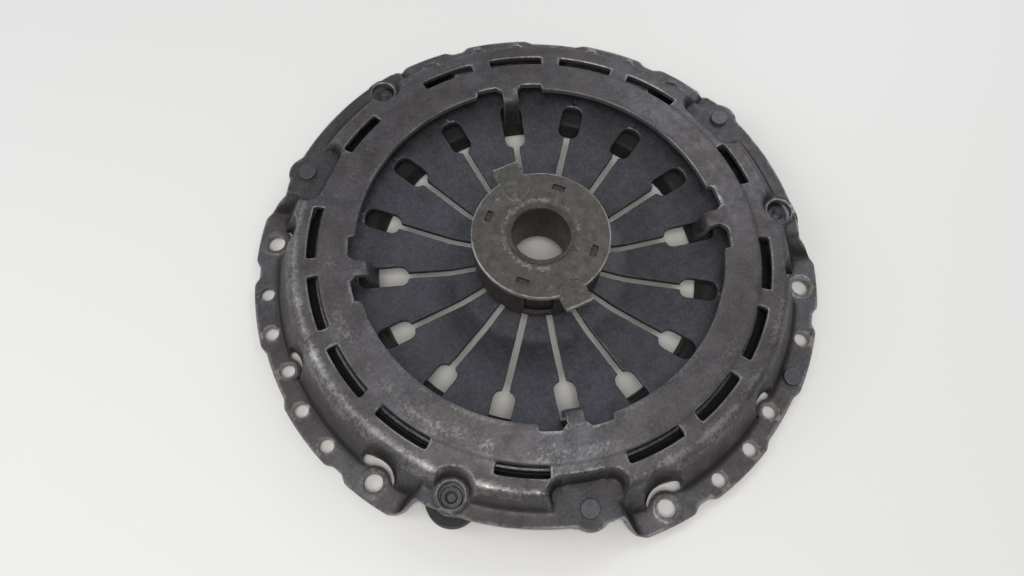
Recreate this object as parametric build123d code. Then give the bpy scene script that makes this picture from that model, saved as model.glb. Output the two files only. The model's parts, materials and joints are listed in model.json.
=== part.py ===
from build123d import *
from math import asin, atan2, cos, degrees, hypot, radians, sin, tan
import os

# Pull-type clutch cover assembly: a pressed steel cover, a diaphragm spring that pivots on the
# cover at its rim, a cast pressure plate hung on three packs of tangential drive straps, and a
# release bearing clipped through the tips of the diaphragm's fingers.
# Origin: centre of the cover's mounting face. +Z points away from the flywheel. Millimetres.
# The shape repeats every 120 degrees: a strap sector is centred on +X, 120 and 240 degrees,
# and a flange sector with two mounting pads lies between each pair of strap sectors.

# ---------------------------------------------------------------- driving dimensions
SECTORS = 3
SECTOR_PITCH = 360 / SECTORS

# cover pressing
SHEET = 3.5
FLANGE_RADIUS = 144.4
FLANK_HALF = 36.4                # degrees, half the span of a flange sector at its top face
FLANK_DRAFT = 27.0               # degrees, slope of the end walls that rise to the ledges
CORNER_START = 35.5              # degrees, where the rim's corner begins
CORNER_RADIUS = 138.5
CORNER_ANGLE = 38.4
VALLEY_ANGLE = 39.8              # degrees, where the rim meets the ledge's edge
MOUNT_CIRCLE = 272.0             # pitch circle diameter of the mounting bolts
MOUNT_HOLE = 9.0                 # clearance for M8
MOUNT_HALF_PITCH = 30.0          # degrees from the middle of a flange sector
PAD_RADIUS = 7.0                 # raised seat round each mounting hole
PAD_RISE = 0.4
SMALL_HOLE = 7.2                 # balancing holes in the flange
SMALL_HOLE_RADIUS = 138.1
SMALL_HOLE_PITCH = 9.0           # degrees
MIDDLE_HOLE_RADIUS = 135.6
NOTCH_RADIUS = 142.2             # radius left at the shallow notches of the rim
NOTCH_ANGLES = (-22.9, 0.0, 22.9)
NOTCH_HALVES = (1.3, 5.2, 1.3)   # degrees of each notch's flat bottom, half
NOTCH_RAMP = 1.4                 # degrees
LIP_RADIUS = 90.5
LIP_HEIGHT = 30.8                # top of the lip above the mounting face
WINDOW_INNER = 108.4
WINDOW_OUTER = 114.1
WINDOW_INNER_HEIGHT = 28.5       # top surface at the windows' inner edge
SHOULDER_RADIUS = 116.0
SHOULDER_HEIGHT = 26.0
SHOULDER_ROUND = 7.0
LEDGE_HEIGHT = 18.25             # top of the ledge over the straps
LEDGE_RADIUS = 134.3
LEDGE_WALL_FOOT = 127.0
WALL_FOOT_RADIUS = 132.5         # outside of the wall where it meets the flange
WALL_TOP_RADIUS = 121.5
WALL_TOP_HEIGHT = 21.5
FOOT_ROUND = 1.8
WINDOW_ARC_HALF = 7.25           # degrees, window over a flange sector
WINDOW_STRAP_HALF = 6.4          # degrees, window over a strap sector
WINDOW_PITCH = 19.5              # degrees
WINDOW_OFFSET = 1.0              # degrees, from the middle of the flange sector
WINDOW_CORNER = 1.4
POCKET_INNER = 115.4             # flat recess round each cover rivet
POCKET_HALF_WIDTH = 16.0
POCKET_CORNER = 5.0
POCKET_WALL = 2.9
LOBE_RADIUS = 9.8                # rounded end of the ledge behind each cover rivet
ACCESS_HOLE = 13.0               # hole over each plate rivet
ACCESS_POCKET = 9.6              # radius of the dished recess round it
CLEARANCE_RADIUS = 10.2          # tool clearance in the wall round each mounting hole
CLEARANCE_WALL = 2.6
MIDDLE_CLEARANCE = 7.4           # the same at the middle small hole
RELIEF_WIDTH = 2.1               # slot at the foot of those clearances
RELIEF_SPAN = 64.0               # degrees to each side of the slot's middle
RELIEF_BLOB = 5.4                # its wide end
RELIEF_BLOB_REACH = 12.4
TAB_COUNT = 4
TAB_WIDTH = 8.0
TAB_REACH = 4.0                  # how far a tab leans in from the lip
TAB_TIP_HEIGHT = 13.5
TAB_RELIEF_WIDTH = 11.5
TAB_RELIEF_DEPTH = 1.7
TAB_SIDE_RELIEF = 1.6
TAB_ROOT = 2.4                   # how far a tab runs into the dome, beyond the lip
TAB_BEND = 3.0
TAB_TIP_ROUND = 0.8

# diaphragm spring
SPRING_THICKNESS = 2.8
SPRING_RADIUS = 111.2
TIP_RADIUS = 22.5
FINGERS = 16
FINGER_CLOCKING = 74.2           # degrees, a slot and a cover tab
SLOT_WIDTH = 3.4
KEYHOLE_WIDTH = 11.8
KEYHOLE_INNER = 72.4
KEYHOLE_OUTER = 90.4
KEYHOLE_CORNER = 5.0
SPRING_TIP_HEIGHT = 9.6          # mid-sheet heights along a finger
SPRING_PRESS_HEIGHT = 9.1
SPRING_BEND_HEIGHT = 8.3
SPRING_PRESS_RADIUS = 34.0
SPRING_BEND_RADIUS = 45.0
SPRING_MID_RADIUS = 75.0
SPRING_MID_HEIGHT = 13.7
SPRING_BENDS = (30, 25, 60)      # radii of the bends between the tip and the rim
SPRING_TIP_ROUND = 0.6
SPRING_RIM_ROUND = 0.9
FULCRUM_WIRE = 3.6
FULCRUM_RADIUS = 109.2
FULCRUM_CLEARANCE = 0.05

# pressure plate
PLATE_RADIUS = 121.2
PLATE_BORE = 82.0                # radius at the friction face
PLATE_BORE_DRAFT = 2.0           # growth of the bore radius up to the plate's top
PLATE_FACE = -1.25               # friction face, below the mounting face
PLATE_THICKNESS = 11.0
PLATE_CHAMFER = 1.5
RIDGE_RADIUS = 95.0
RIDGE_WIDTH = 4.6
RIDGE_ROUND = 2.25
RIDGE_SEGMENTS = 12
RIDGE_GAP = 9.0                  # gap between ridge segments
RIDGE_CLEARANCE = 0.2
RIDGE_FOOT = 1.5                 # how far the ridge's sides splay at its foot
RIDGE_CLOCKING = 15.0            # degrees, the first gap in the ridge
LUG_RADIUS = 12.3
LUG_BOTTOM = 1.8
LUG_TOP = 10.3
LUG_NECK = 13.0                  # half width where the lug meets the ring
LUG_ROOT = 10.4                  # how far a lug runs into the ring

# drive straps and rivets
STRAP_LEAVES = 3
LEAF_THICKNESS = 0.7
LEAF_GAP = 0.02
STRAP_WIDTH = 17.0
STRAP_BEND_START = 13.0          # along the strap, from each rivet
COVER_RIVET_RADIUS = 127.44
COVER_RIVET_ANGLE = 14.2         # degrees from the middle of the strap sector
PLATE_RIVET_RADIUS = 126.8
PLATE_RIVET_ANGLE = -14.0
RIVET_SHANK = 6.0
RIVET_HEAD = 8.9
RIVET_HEAD_HEIGHT = 1.9
PLATE_RIVET_HEAD = 10.2
RIVET_CUP = 6.0
RIVET_CUP_DEPTH = 1.2
RIVET_EDGE = 0.5
RIVET_FOOT = 0.92                # foot's size as a share of the head's
RIVET_CLEARANCE = 0.05
BALANCE_SECTOR = 2
BALANCE_HOLE = 1                 # position of the balancing rivet along its sector
BALANCE_HEAD = 9.2
BALANCE_HEAD_HEIGHT = 2.2
BALANCE_EDGE = 0.7

# release bearing
BORE_RADIUS = 13.9
SLEEVE_RADIUS = 16.2
SLEEVE_BOTTOM = 8.75
SLEEVE_STAND = 0.3               # how far the sleeve stands over the fork plate
SLEEVE_CHAMFER = 0.6
FORK_PLATE_RADIUS = 33.6
FORK_PLATE_TOP = 39.25
FORK_PLATE_THICKNESS = 3.0
FORK_PLATE_CHAMFER = 0.5
FORK_TAB_WIDTH = 13.8
FORK_TAB_REACH = 41.0
FORK_TAB_INNER = 23.5
FORK_TAB_RISE = 0.8
FORK_SEAT_GAP = 0.6              # from the housing to the step in a tab's underside
CLIP_COUNT = 4
CLIP_RADIUS = 26.6
CLIP_LENGTH = 6.3
CLIP_WIDTH = 3.2
CLIP_CLEARANCE = 0.15
CLIP_CLOCKING = 45.0             # degrees
CLIP_STAND = 2.0                 # how far a clip reaches up into the fork plate
HOUSING_RADIUS = 32.4
HOUSING_WALL = 2.0
HOUSING_BOTTOM = 13.0
HOUSING_LIP = 1.5                # thickness of the turned-in rims
HOUSING_FOOT_ROUND = 1.6
HOUSING_TOP_ROUND = 1.2
HOUSING_WINDOW_WIDTH = 14.0
HOUSING_WINDOW_BOTTOM = 17.0
HOUSING_WINDOW_GAP = 0.5         # from a window's top to the upper rim
HOUSING_WINDOW_ANGLE = 243.0
HOUSING_TOP_LIP = 24.6
HOUSING_BOTTOM_LIP = 27.6
CENTRING_WIDTH = 1.2
CENTRING_INSET = 0.4             # from the outer race's bore
OUTER_RACE_BORE = 27.0
OUTER_RACE_TOP = 33.0
OUTER_RACE_RADIUS = 29.9
INNER_RACE_RADIUS = 23.2
INNER_RACE_BORE = 18.0
INNER_RACE_BOTTOM = 14.0
HUB_TUBE_RADIUS = 21.0
HUB_TUBE_BOTTOM = 2.6
HUB_TUBE_CLEARANCE = 0.05
BALLS = 16
BALL = 6.5
BALL_CIRCLE = 25.1
BALL_HEIGHT = 25.0
BALL_CLEARANCE = 0.06
CAGE_INNER = 24.0
CAGE_OUTER = 26.2
CAGE_HALF_HEIGHT = 4.4
CAGE_CLEARANCE = 0.1
SEAL_THICKNESS = 1.3
SEAL_CLEARANCE = 0.1
LOWER_SEAL_STAND = 3.0           # over the housing's bottom
UPPER_SEAL_INSET = 0.6           # under the outer race's top
THRUST_RADIUS = 29.0
THRUST_CONTACT = 26.0
THRUST_CLEARANCE = 0.08
THRUST_CREST = 1.2               # half width of the crest that bears on the fingers
THRUST_FALL = 1.5                # how far its sides fall away from the crest
WASHER_RADIUS = 28.5
WASHER_THICKNESS = 1.0
WASHER_CLEARANCE = 0.1
WASHER_LAP = 0.6                 # width of its flat under the inner race
WASHER_GAP = 0.02
SNAP_WIRE = 1.6
SNAP_GROOVE = 0.7
SNAP_EDGE = 0.8                  # of the tube left under the snap ring
SNAP_TURN = 345.0                # degrees, the rest is its split
GROOVE_CLEARANCE = 0.02

CUT = 60.0                       # length of cutters that only have to run past a face
BEYOND = FLANGE_RADIUS + 6.0     # a radius clear of the rim


# ---------------------------------------------------------------- helpers
def polar(radius, angle, height=0.0):
    """A point from a radius and an angle in degrees."""
    return (radius * cos(radians(angle)), radius * sin(radians(angle)), height)


def sector_angle(index, strap):
    """Middle of a strap sector or of the flange sector after it, in degrees."""
    return index * SECTOR_PITCH + (0 if strap else SECTOR_PITCH / 2)


def turned(shape, angle):
    """The shape turned about the assembly's axis."""
    return Rot(0, 0, angle) * shape


def ring_of(shape, count, start=0.0):
    """Copies of the shape spread evenly round the axis."""
    return [turned(shape, start + index * 360 / count) for index in range(count)]


def revolved(points, radii=0.0):
    """A solid of revolution from an outline of (radius, height) points with rounded corners."""
    outline = FilletPolyline(*points, radius=radii, close=True) if radii else Polyline(*points, close=True)
    return revolve(Plane.XZ * make_face(outline), Axis.Z, 360)


def tube(outer, inner, bottom, top):
    """A plain ring."""
    return revolved([(inner, bottom), (outer, bottom), (outer, top), (inner, top)])


def drilled(x, y, radius, bottom=-CUT, top=CUT):
    """A vertical round cutter or pin."""
    return Pos(x, y, bottom) * extrude(Circle(radius), top - bottom)


def wedge(grow):
    """The space between the end walls of the flange sector on +X, widening upwards."""
    lean = tan(radians(FLANK_DRAFT))
    slope = tan(radians(FLANK_HALF))
    shift = (grow / cos(radians(FLANK_DRAFT)) - 2 * SHEET * lean) / cos(radians(FLANK_HALF))
    near = CUT * slope + shift
    far = BEYOND * slope + shift
    plan = make_face(Polyline((CUT, -near), (BEYOND, -far), (BEYOND, far), (CUT, near), close=True))
    return Pos(0, 0, -SHEET) * extrude(plan, LIP_HEIGHT + 2 * SHEET, taper=-FLANK_DRAFT)


def parallel(points, distance):
    """An open outline moved to its right by a distance, corner by corner."""
    directions = []
    for (r0, z0), (r1, z1) in zip(points, points[1:]):
        length = hypot(r1 - r0, z1 - z0)
        directions.append(((r1 - r0) / length, (z1 - z0) / length))
    moved = []
    for index, (r, z) in enumerate(points):
        before = directions[max(index - 1, 0)]
        after = directions[min(index, len(directions) - 1)]
        share = distance / (1 + before[0] * after[0] + before[1] * after[1])
        moved.append((r + (before[1] + after[1]) * share, z - (before[0] + after[0]) * share))
    return moved


def along(points, x):
    """Height of an open outline, prolonged past its ends, at a radius."""
    pairs = list(zip(points, points[1:]))
    for (r0, z0), (r1, z1) in pairs:
        if x <= r1 or (r1, z1) == points[-1]:
            return z0 + (x - r0) * (z1 - z0) / (r1 - r0)


# ---------------------------------------------------------------- cover
DOME = [(LIP_RADIUS, LIP_HEIGHT), (WINDOW_INNER, WINDOW_INNER_HEIGHT), (SHOULDER_RADIUS, SHOULDER_HEIGHT)]
STRAP_OUTLINE = DOME + [(LEDGE_WALL_FOOT, LEDGE_HEIGHT), (BEYOND, LEDGE_HEIGHT)]
FLANGE_OUTLINE = DOME + [
    (WALL_TOP_RADIUS, WALL_TOP_HEIGHT),
    (WALL_FOOT_RADIUS, SHEET),
    (BEYOND, SHEET),
]
CORE_RADIUS = LIP_RADIUS - 12.0
RIVET_SEAT = LEDGE_HEIGHT - SHEET


def filled(outline):
    """The space under an outline of the pressing's top side, down to the mounting face."""
    rounds = [0, 0, 0, SHOULDER_ROUND] + [SHOULDER_ROUND] * (len(outline) - 5) + [FOOT_ROUND, 0, 0]
    return revolved([(LIP_RADIUS, 0)] + outline + [(BEYOND, 0)], rounds)


def hollow(outline):
    """The space under the sheet that follows an outline, down past the mounting face."""
    inside = parallel(outline, SHEET)
    bend = SHOULDER_ROUND - SHEET
    points = [(CORE_RADIUS, -SHEET), (CORE_RADIUS, along(inside, CORE_RADIUS))] + inside[1:]
    points.append((BEYOND, -SHEET))
    rounds = [0, 0, 0, bend] + [bend] * (len(inside) - 5) + [0, 0, 0]
    return revolved(points, rounds)


def notch(middle, half):
    """Plan of a shallow notch in the rim of the flange sector on +X."""
    outer = half + 4 * NOTCH_RAMP
    corners = [(NOTCH_RADIUS, middle - half), (NOTCH_RADIUS, middle + half)]
    corners += [(BEYOND, middle + outer), (BEYOND, middle - outer)]
    return make_face(Polyline(*[polar(*corner)[:2] for corner in corners], close=True))


def sector_plan():
    """Plan outline of the flange sector on +X."""
    side = [(FLANGE_RADIUS, CORNER_START), (CORNER_RADIUS, CORNER_ANGLE), (LEDGE_RADIUS, VALLEY_ANGLE)]
    corners = [(0, 0)] + [(radius, -angle) for radius, angle in reversed(side)]
    corners += [(2 * FLANGE_RADIUS, -CORNER_START), (2 * FLANGE_RADIUS, CORNER_START)] + side
    plan = make_face(Polyline(*[polar(*corner)[:2] for corner in corners], close=True))
    plan = plan & Circle(FLANGE_RADIUS)
    for middle, half in zip(NOTCH_ANGLES, NOTCH_HALVES):
        plan -= notch(middle, half)
    return plan


def window(middle, half):
    """Cutter for one window through the dome."""
    length = 2 * radians(half) * (WINDOW_INNER + WINDOW_OUTER) / 2
    far = 2 * WINDOW_OUTER
    side = far * tan(radians(half))
    pie = make_face(Polyline((0, 0), (far, -side), (far, side), close=True))
    face = (Circle(WINDOW_OUTER) - Circle(WINDOW_INNER)) & pie
    corner = min(WINDOW_CORNER, length / 4, (WINDOW_OUTER - WINDOW_INNER) / 3)
    face = fillet(face.vertices(), corner)
    return turned(Pos(0, 0, LEDGE_HEIGHT) * extrude(face, CUT), middle)


def pocket_plan(grow):
    """Plan of the flat recess round a cover rivet, on +X, grown by the wall that lines it."""
    inner = POCKET_INNER - grow
    width = 2 * (POCKET_HALF_WIDTH + grow)
    length = FLANGE_RADIUS - inner
    face = Pos(inner + length / 2, 0) * Rectangle(length, width)
    near = face.vertices().sort_by(Axis.X)[:2]
    return fillet(near, POCKET_CORNER + grow)


def access_plan(grow):
    """Plan of the recess round an access hole, on +X."""
    reach = FLANGE_RADIUS - PLATE_RIVET_RADIUS
    slot = Pos(PLATE_RIVET_RADIUS + reach / 2, 0) * Rectangle(reach, 2 * (ACCESS_POCKET + grow))
    return slot + Pos(PLATE_RIVET_RADIUS, 0) * Circle(ACCESS_POCKET + grow)


def relief(clearance, hole_radius, sides):
    """Cutter for the slot at the foot of a clearance round a hole on +X, widened at its ends."""
    arc = CenterArc((hole_radius, 0), clearance - RELIEF_WIDTH / 2, 180 - RELIEF_SPAN, 2 * RELIEF_SPAN)
    height = LEDGE_HEIGHT - SHEET
    cutter = Pos(0, 0, -SHEET) * extrude(SlotArc(arc, RELIEF_WIDTH), height)
    reach = clearance - CLEARANCE_RADIUS + RELIEF_BLOB_REACH
    for side in sides:
        x, y, _ = polar(reach, 180 + side * (RELIEF_SPAN - 15))
        cutter += drilled(hole_radius + x, y, RELIEF_BLOB / 2, -SHEET, height - SHEET)
    return cutter


def leg_solids():
    """The filled flange sector on +X and the space under it, with the clearances round its holes."""
    leg = filled(FLANGE_OUTLINE) & wedge(0)
    space = hollow(FLANGE_OUTLINE) & wedge(SHEET)
    for side in (-1, 1):
        x, y, _ = polar(MOUNT_CIRCLE / 2, side * MOUNT_HALF_PITCH)
        leg -= drilled(x, y, CLEARANCE_RADIUS, SHEET)
        space -= drilled(x, y, CLEARANCE_RADIUS + CLEARANCE_WALL)
        leg += drilled(x, y, PAD_RADIUS, 0, SHEET + PAD_RISE)
    leg -= drilled(MIDDLE_HOLE_RADIUS, 0, MIDDLE_CLEARANCE, SHEET)
    space -= drilled(MIDDLE_HOLE_RADIUS, 0, MIDDLE_CLEARANCE + CLEARANCE_WALL)
    return leg, space


def drill_sector(shell):
    """The sector with all its holes, slots and windows."""
    for side in (-1, 1):
        hole = side * MOUNT_HALF_PITCH
        shell -= turned(drilled(MOUNT_CIRCLE / 2, 0, MOUNT_HOLE / 2), hole)
        shell -= turned(relief(CLEARANCE_RADIUS, MOUNT_CIRCLE / 2, [side]), hole)
        shell -= window(side * SECTOR_PITCH / 2, WINDOW_STRAP_HALF)
    for step in (-2, -1, 1, 2):
        shell -= turned(drilled(SMALL_HOLE_RADIUS, 0, SMALL_HOLE / 2), step * SMALL_HOLE_PITCH)
    shell -= drilled(MIDDLE_HOLE_RADIUS, 0, SMALL_HOLE / 2)
    shell -= relief(MIDDLE_CLEARANCE, MIDDLE_HOLE_RADIUS, [-1, 1])
    for step in (-1.5, -0.5, 0.5, 1.5):
        shell -= window(WINDOW_OFFSET + step * WINDOW_PITCH, WINDOW_ARC_HALF)
    shell -= turned(drilled(COVER_RIVET_RADIUS, 0, RIVET_SHANK / 2), COVER_RIVET_ANGLE - SECTOR_PITCH / 2)
    shell -= turned(drilled(PLATE_RIVET_RADIUS, 0, ACCESS_HOLE / 2), PLATE_RIVET_ANGLE + SECTOR_PITCH / 2)
    return shell


def make_cover_sector():
    """One third of the pressing, with the flange sector's middle on +X."""
    leg, leg_space = leg_solids()
    body = filled(STRAP_OUTLINE) - wedge(0) + leg
    space = hollow(STRAP_OUTLINE) - wedge(SHEET) + leg_space
    rivet_turn = COVER_RIVET_ANGLE - SECTOR_PITCH / 2
    access_turn = PLATE_RIVET_ANGLE + SECTOR_PITCH / 2
    for plan, turn in ((pocket_plan, rivet_turn), (access_plan, access_turn)):
        body -= turned(Pos(0, 0, LEDGE_HEIGHT) * extrude(plan(0), CUT), turn)
        space -= turned(Pos(0, 0, RIVET_SEAT) * extrude(plan(POCKET_WALL), CUT), turn)
    lobe = turned(Pos(COVER_RIVET_RADIUS, 0) * Circle(LOBE_RADIUS), rivet_turn)
    pie = [(0, 0), (2 * BEYOND, -SECTOR_PITCH / 2), (2 * BEYOND, SECTOR_PITCH / 2)]
    pie = make_face(Polyline(*[polar(*corner)[:2] for corner in pie], close=True))
    plan = (Circle(LEDGE_RADIUS) + lobe + sector_plan()) & pie
    return drill_sector((body & extrude(plan, CUT)) - space)


def make_cover():
    """The cover pressing."""
    sector = make_cover_sector()
    body = turned(sector, sector_angle(0, False))
    for index in range(1, SECTORS):
        body += turned(sector, sector_angle(index, False))
    relief_length = TAB_RELIEF_DEPTH + 4
    beside = (TAB_WIDTH + TAB_RELIEF_WIDTH) / 2
    reach = LIP_RADIUS + TAB_RELIEF_DEPTH - relief_length / 2
    for tab in range(TAB_COUNT):
        angle = FINGER_CLOCKING + tab * 360 / TAB_COUNT
        cutter = Pos(reach, -beside, LIP_HEIGHT) * Box(relief_length, TAB_RELIEF_WIDTH, CUT / 2)
        far_side = (TAB_WIDTH + TAB_SIDE_RELIEF) / 2
        cutter += Pos(reach, far_side, LIP_HEIGHT) * Box(relief_length, TAB_SIDE_RELIEF, CUT / 2)
        body -= turned(cutter, angle)
        body += turned(make_tab(), angle)
    return body


def make_tab():
    """One tab bent down from the lip into a keyhole of the diaphragm spring, on +X."""
    root = LIP_RADIUS + TAB_ROOT
    top = along(DOME, root)
    tip = LIP_RADIUS - TAB_REACH
    half = SHEET / 2
    outline = [(root, top), (LIP_RADIUS - TAB_ROOT / 2, LIP_HEIGHT), (tip - half, TAB_TIP_HEIGHT),
               (tip + half, TAB_TIP_HEIGHT), (LIP_RADIUS + TAB_ROOT / 2, LIP_HEIGHT - SHEET - TAB_TIP_ROUND),
               (root, top - SHEET)]
    radii = [0, TAB_BEND, TAB_TIP_ROUND, TAB_TIP_ROUND, TAB_TIP_ROUND, 0]
    face = make_face(FilletPolyline(*outline, radius=radii, close=True))
    return Pos(0, TAB_WIDTH / 2, 0) * extrude(Plane.XZ * face, TAB_WIDTH)


# ---------------------------------------------------------------- diaphragm spring
DOME_SLOPE = (WINDOW_INNER_HEIGHT - SHOULDER_HEIGHT) / (SHOULDER_RADIUS - WINDOW_INNER)
WIRE_REACH = FULCRUM_WIRE / 2 + FULCRUM_CLEARANCE
FULCRUM_HEIGHT = along(parallel(DOME, SHEET), FULCRUM_RADIUS) - WIRE_REACH * hypot(1, DOME_SLOPE)
SPRING_CONTACT = FULCRUM_HEIGHT - WIRE_REACH - SPRING_THICKNESS / 2
SPRING_SLOPE = (SPRING_CONTACT - SPRING_MID_HEIGHT) / (FULCRUM_RADIUS - SPRING_MID_RADIUS)
SPRING_LINE = [
    (TIP_RADIUS, SPRING_TIP_HEIGHT),
    (SPRING_PRESS_RADIUS, SPRING_PRESS_HEIGHT),
    (SPRING_BEND_RADIUS, SPRING_BEND_HEIGHT),
    (SPRING_MID_RADIUS, SPRING_MID_HEIGHT),
    (SPRING_RADIUS, SPRING_CONTACT + SPRING_SLOPE * (SPRING_RADIUS - FULCRUM_RADIUS)),
]


def make_spring():
    """The slotted diaphragm spring."""
    half = SPRING_THICKNESS / 2
    lower = [(r, z - half) for r, z in SPRING_LINE]
    upper = [(r, z + half) for r, z in reversed(SPRING_LINE)]
    bends = [SPRING_TIP_ROUND, *SPRING_BENDS, SPRING_RIM_ROUND]
    disc = revolved(lower + upper, bends + bends[::-1])
    length = KEYHOLE_OUTER - KEYHOLE_INNER
    keyhole = Pos(KEYHOLE_INNER + length / 2, 0) * RectangleRounded(length, KEYHOLE_WIDTH, KEYHOLE_CORNER)
    slot_length = KEYHOLE_INNER + KEYHOLE_CORNER
    plan = keyhole + Pos(slot_length / 2, 0) * Rectangle(slot_length, SLOT_WIDTH)
    cutter = extrude(plan, CUT)
    for piece in ring_of(cutter, FINGERS, FINGER_CLOCKING):
        disc -= piece
    return disc


def make_fulcrum_ring():
    """The wire ring that the spring's rim pivots on."""
    wire = Pos(FULCRUM_RADIUS, FULCRUM_HEIGHT) * Circle(FULCRUM_WIRE / 2)
    return revolve(Plane.XZ * wire, Axis.Z, 360)


# ---------------------------------------------------------------- pressure plate
PLATE_TOP = PLATE_FACE + PLATE_THICKNESS
RIDGE_TOP = along(SPRING_LINE, RIDGE_RADIUS) - SPRING_THICKNESS / 2 - RIDGE_CLEARANCE


def make_plate():
    """The cast ring with its interrupted ridge and three strap lugs."""
    c = PLATE_CHAMFER
    ring = revolved([
        (PLATE_BORE + c, PLATE_FACE), (PLATE_RADIUS - c, PLATE_FACE), (PLATE_RADIUS, PLATE_FACE + c),
        (PLATE_RADIUS, PLATE_TOP - 2 * c), (PLATE_RADIUS - 2 * c, PLATE_TOP),
        (PLATE_BORE + PLATE_BORE_DRAFT + c, PLATE_TOP), (PLATE_BORE + PLATE_BORE_DRAFT, PLATE_TOP - c),
        (PLATE_BORE, PLATE_FACE + c),
    ])
    low = RIDGE_RADIUS - RIDGE_WIDTH / 2
    high = RIDGE_RADIUS + RIDGE_WIDTH / 2
    ridge = revolved(
        [(low - RIDGE_FOOT, PLATE_TOP - c), (high + RIDGE_FOOT, PLATE_TOP - c),
         (high + RIDGE_FOOT, PLATE_TOP), (high, RIDGE_TOP), (low, RIDGE_TOP), (low - RIDGE_FOOT, PLATE_TOP)],
        [0, 0, 0, RIDGE_ROUND, RIDGE_ROUND, 0],
    )
    gap = Pos(RIDGE_RADIUS, 0, PLATE_TOP + CUT / 2) * Box(4 * RIDGE_WIDTH, RIDGE_GAP, CUT)
    for cutter in ring_of(gap, RIDGE_SEGMENTS, RIDGE_CLOCKING):
        ridge -= cutter
    plate = ring + ridge
    hole = drilled(PLATE_RIVET_RADIUS, 0, RIVET_SHANK / 2)
    for index in range(SECTORS):
        angle = sector_angle(index, True) + PLATE_RIVET_ANGLE
        plate += turned(make_lug(), angle)
        plate -= turned(hole, angle)
    return plate


def make_lug():
    """One strap lug, on +X."""
    neck = PLATE_RADIUS - LUG_ROOT
    plan = Pos(PLATE_RIVET_RADIUS, 0) * Circle(LUG_RADIUS)
    plan += make_face(Polyline(
        (neck, -LUG_NECK), (PLATE_RIVET_RADIUS, -LUG_RADIUS), (PLATE_RIVET_RADIUS, LUG_RADIUS),
        (neck, LUG_NECK), close=True))
    return Pos(0, 0, LUG_BOTTOM) * extrude(plan, LUG_TOP - LUG_BOTTOM)


# ---------------------------------------------------------------- drive straps and rivets
COVER_END = polar(COVER_RIVET_RADIUS, COVER_RIVET_ANGLE)
PLATE_END = polar(PLATE_RIVET_RADIUS, PLATE_RIVET_ANGLE)
STRAP_LENGTH = hypot(COVER_END[0] - PLATE_END[0], COVER_END[1] - PLATE_END[1])
STRAP_HEADING = degrees(atan2(PLATE_END[1] - COVER_END[1], PLATE_END[0] - COVER_END[0]))
PACK = STRAP_LEAVES * LEAF_THICKNESS + (STRAP_LEAVES - 1) * LEAF_GAP
STRAP_TOP_COVER = RIVET_SEAT - LEAF_GAP
STRAP_TOP_PLATE = LUG_TOP + LEAF_GAP + PACK


def make_leaf(layer):
    """One strap leaf of the strap sector on +X, counted from the top of the pack."""
    drop = layer * (LEAF_THICKNESS + LEAF_GAP)
    high = STRAP_TOP_COVER - drop
    low = STRAP_TOP_PLATE - drop
    overrun = STRAP_WIDTH / 2
    top = [(-overrun, high), (STRAP_BEND_START, high), (STRAP_LENGTH - STRAP_BEND_START, low),
           (STRAP_LENGTH + overrun, low)]
    bottom = [(x, z - LEAF_THICKNESS) for x, z in reversed(top)]
    side = make_face(Polyline(*top, *bottom, close=True))
    strip = Pos(0, STRAP_WIDTH / 2, 0) * extrude(Plane.XZ * side, STRAP_WIDTH)
    plan = Pos(STRAP_LENGTH / 2, 0) * SlotCenterToCenter(STRAP_LENGTH, STRAP_WIDTH)
    for x in (0, STRAP_LENGTH):
        plan -= Pos(x, 0) * Circle(RIVET_SHANK / 2 + RIVET_CLEARANCE)
    leaf = strip & extrude(plan, CUT)
    return Pos(COVER_END[0], COVER_END[1], 0) * Rot(0, 0, STRAP_HEADING) * leaf


def make_strap_pack(index):
    """The leaves of one strap pack, from the cover rivet to the plate rivet."""
    leaves = [turned(make_leaf(layer), sector_angle(index, True)) for layer in range(STRAP_LEAVES)]
    return Compound(children=[leaf.solid() for leaf in leaves])


def rivet(head, head_bottom, foot_top, height, cup=0.0):
    """A rivet on the Z axis, clamping between a lower and an upper height."""
    top = head_bottom + height
    foot = head / 2 * RIVET_FOOT
    outline = [
        (0, foot_top - height), (foot, foot_top - height), (foot, foot_top), (RIVET_SHANK / 2, foot_top),
        (RIVET_SHANK / 2, head_bottom), (head / 2, head_bottom), (head / 2, top),
    ]
    radii = [0, RIVET_EDGE, 0, 0, 0, 0, RIVET_EDGE]
    if cup:
        floor = top - RIVET_CUP_DEPTH
        outline += [(cup / 2, top), (cup / 2 - RIVET_CUP_DEPTH, floor), (0, floor)]
        radii += [0, 0, 0]
    else:
        outline += [(0, top)]
        radii += [0]
    return revolved(outline, radii)


def make_cover_rivets():
    """The three rivets that hold the straps under the cover."""
    one = Pos(COVER_RIVET_RADIUS, 0, 0) * rivet(
        RIVET_HEAD, LEDGE_HEIGHT, STRAP_TOP_COVER - PACK - LEAF_GAP, RIVET_HEAD_HEIGHT)
    solids = [turned(one, sector_angle(index, True) + COVER_RIVET_ANGLE) for index in range(SECTORS)]
    return Compound(children=[solid.solid() for solid in solids])


def make_plate_rivets():
    """The three cupped rivets that hold the straps on the plate's lugs."""
    one = Pos(PLATE_RIVET_RADIUS, 0, 0) * rivet(
        PLATE_RIVET_HEAD, STRAP_TOP_PLATE + LEAF_GAP, LUG_BOTTOM, RIVET_HEAD_HEIGHT, RIVET_CUP)
    solids = [turned(one, sector_angle(index, True) + PLATE_RIVET_ANGLE) for index in range(SECTORS)]
    return Compound(children=[solid.solid() for solid in solids])


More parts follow.
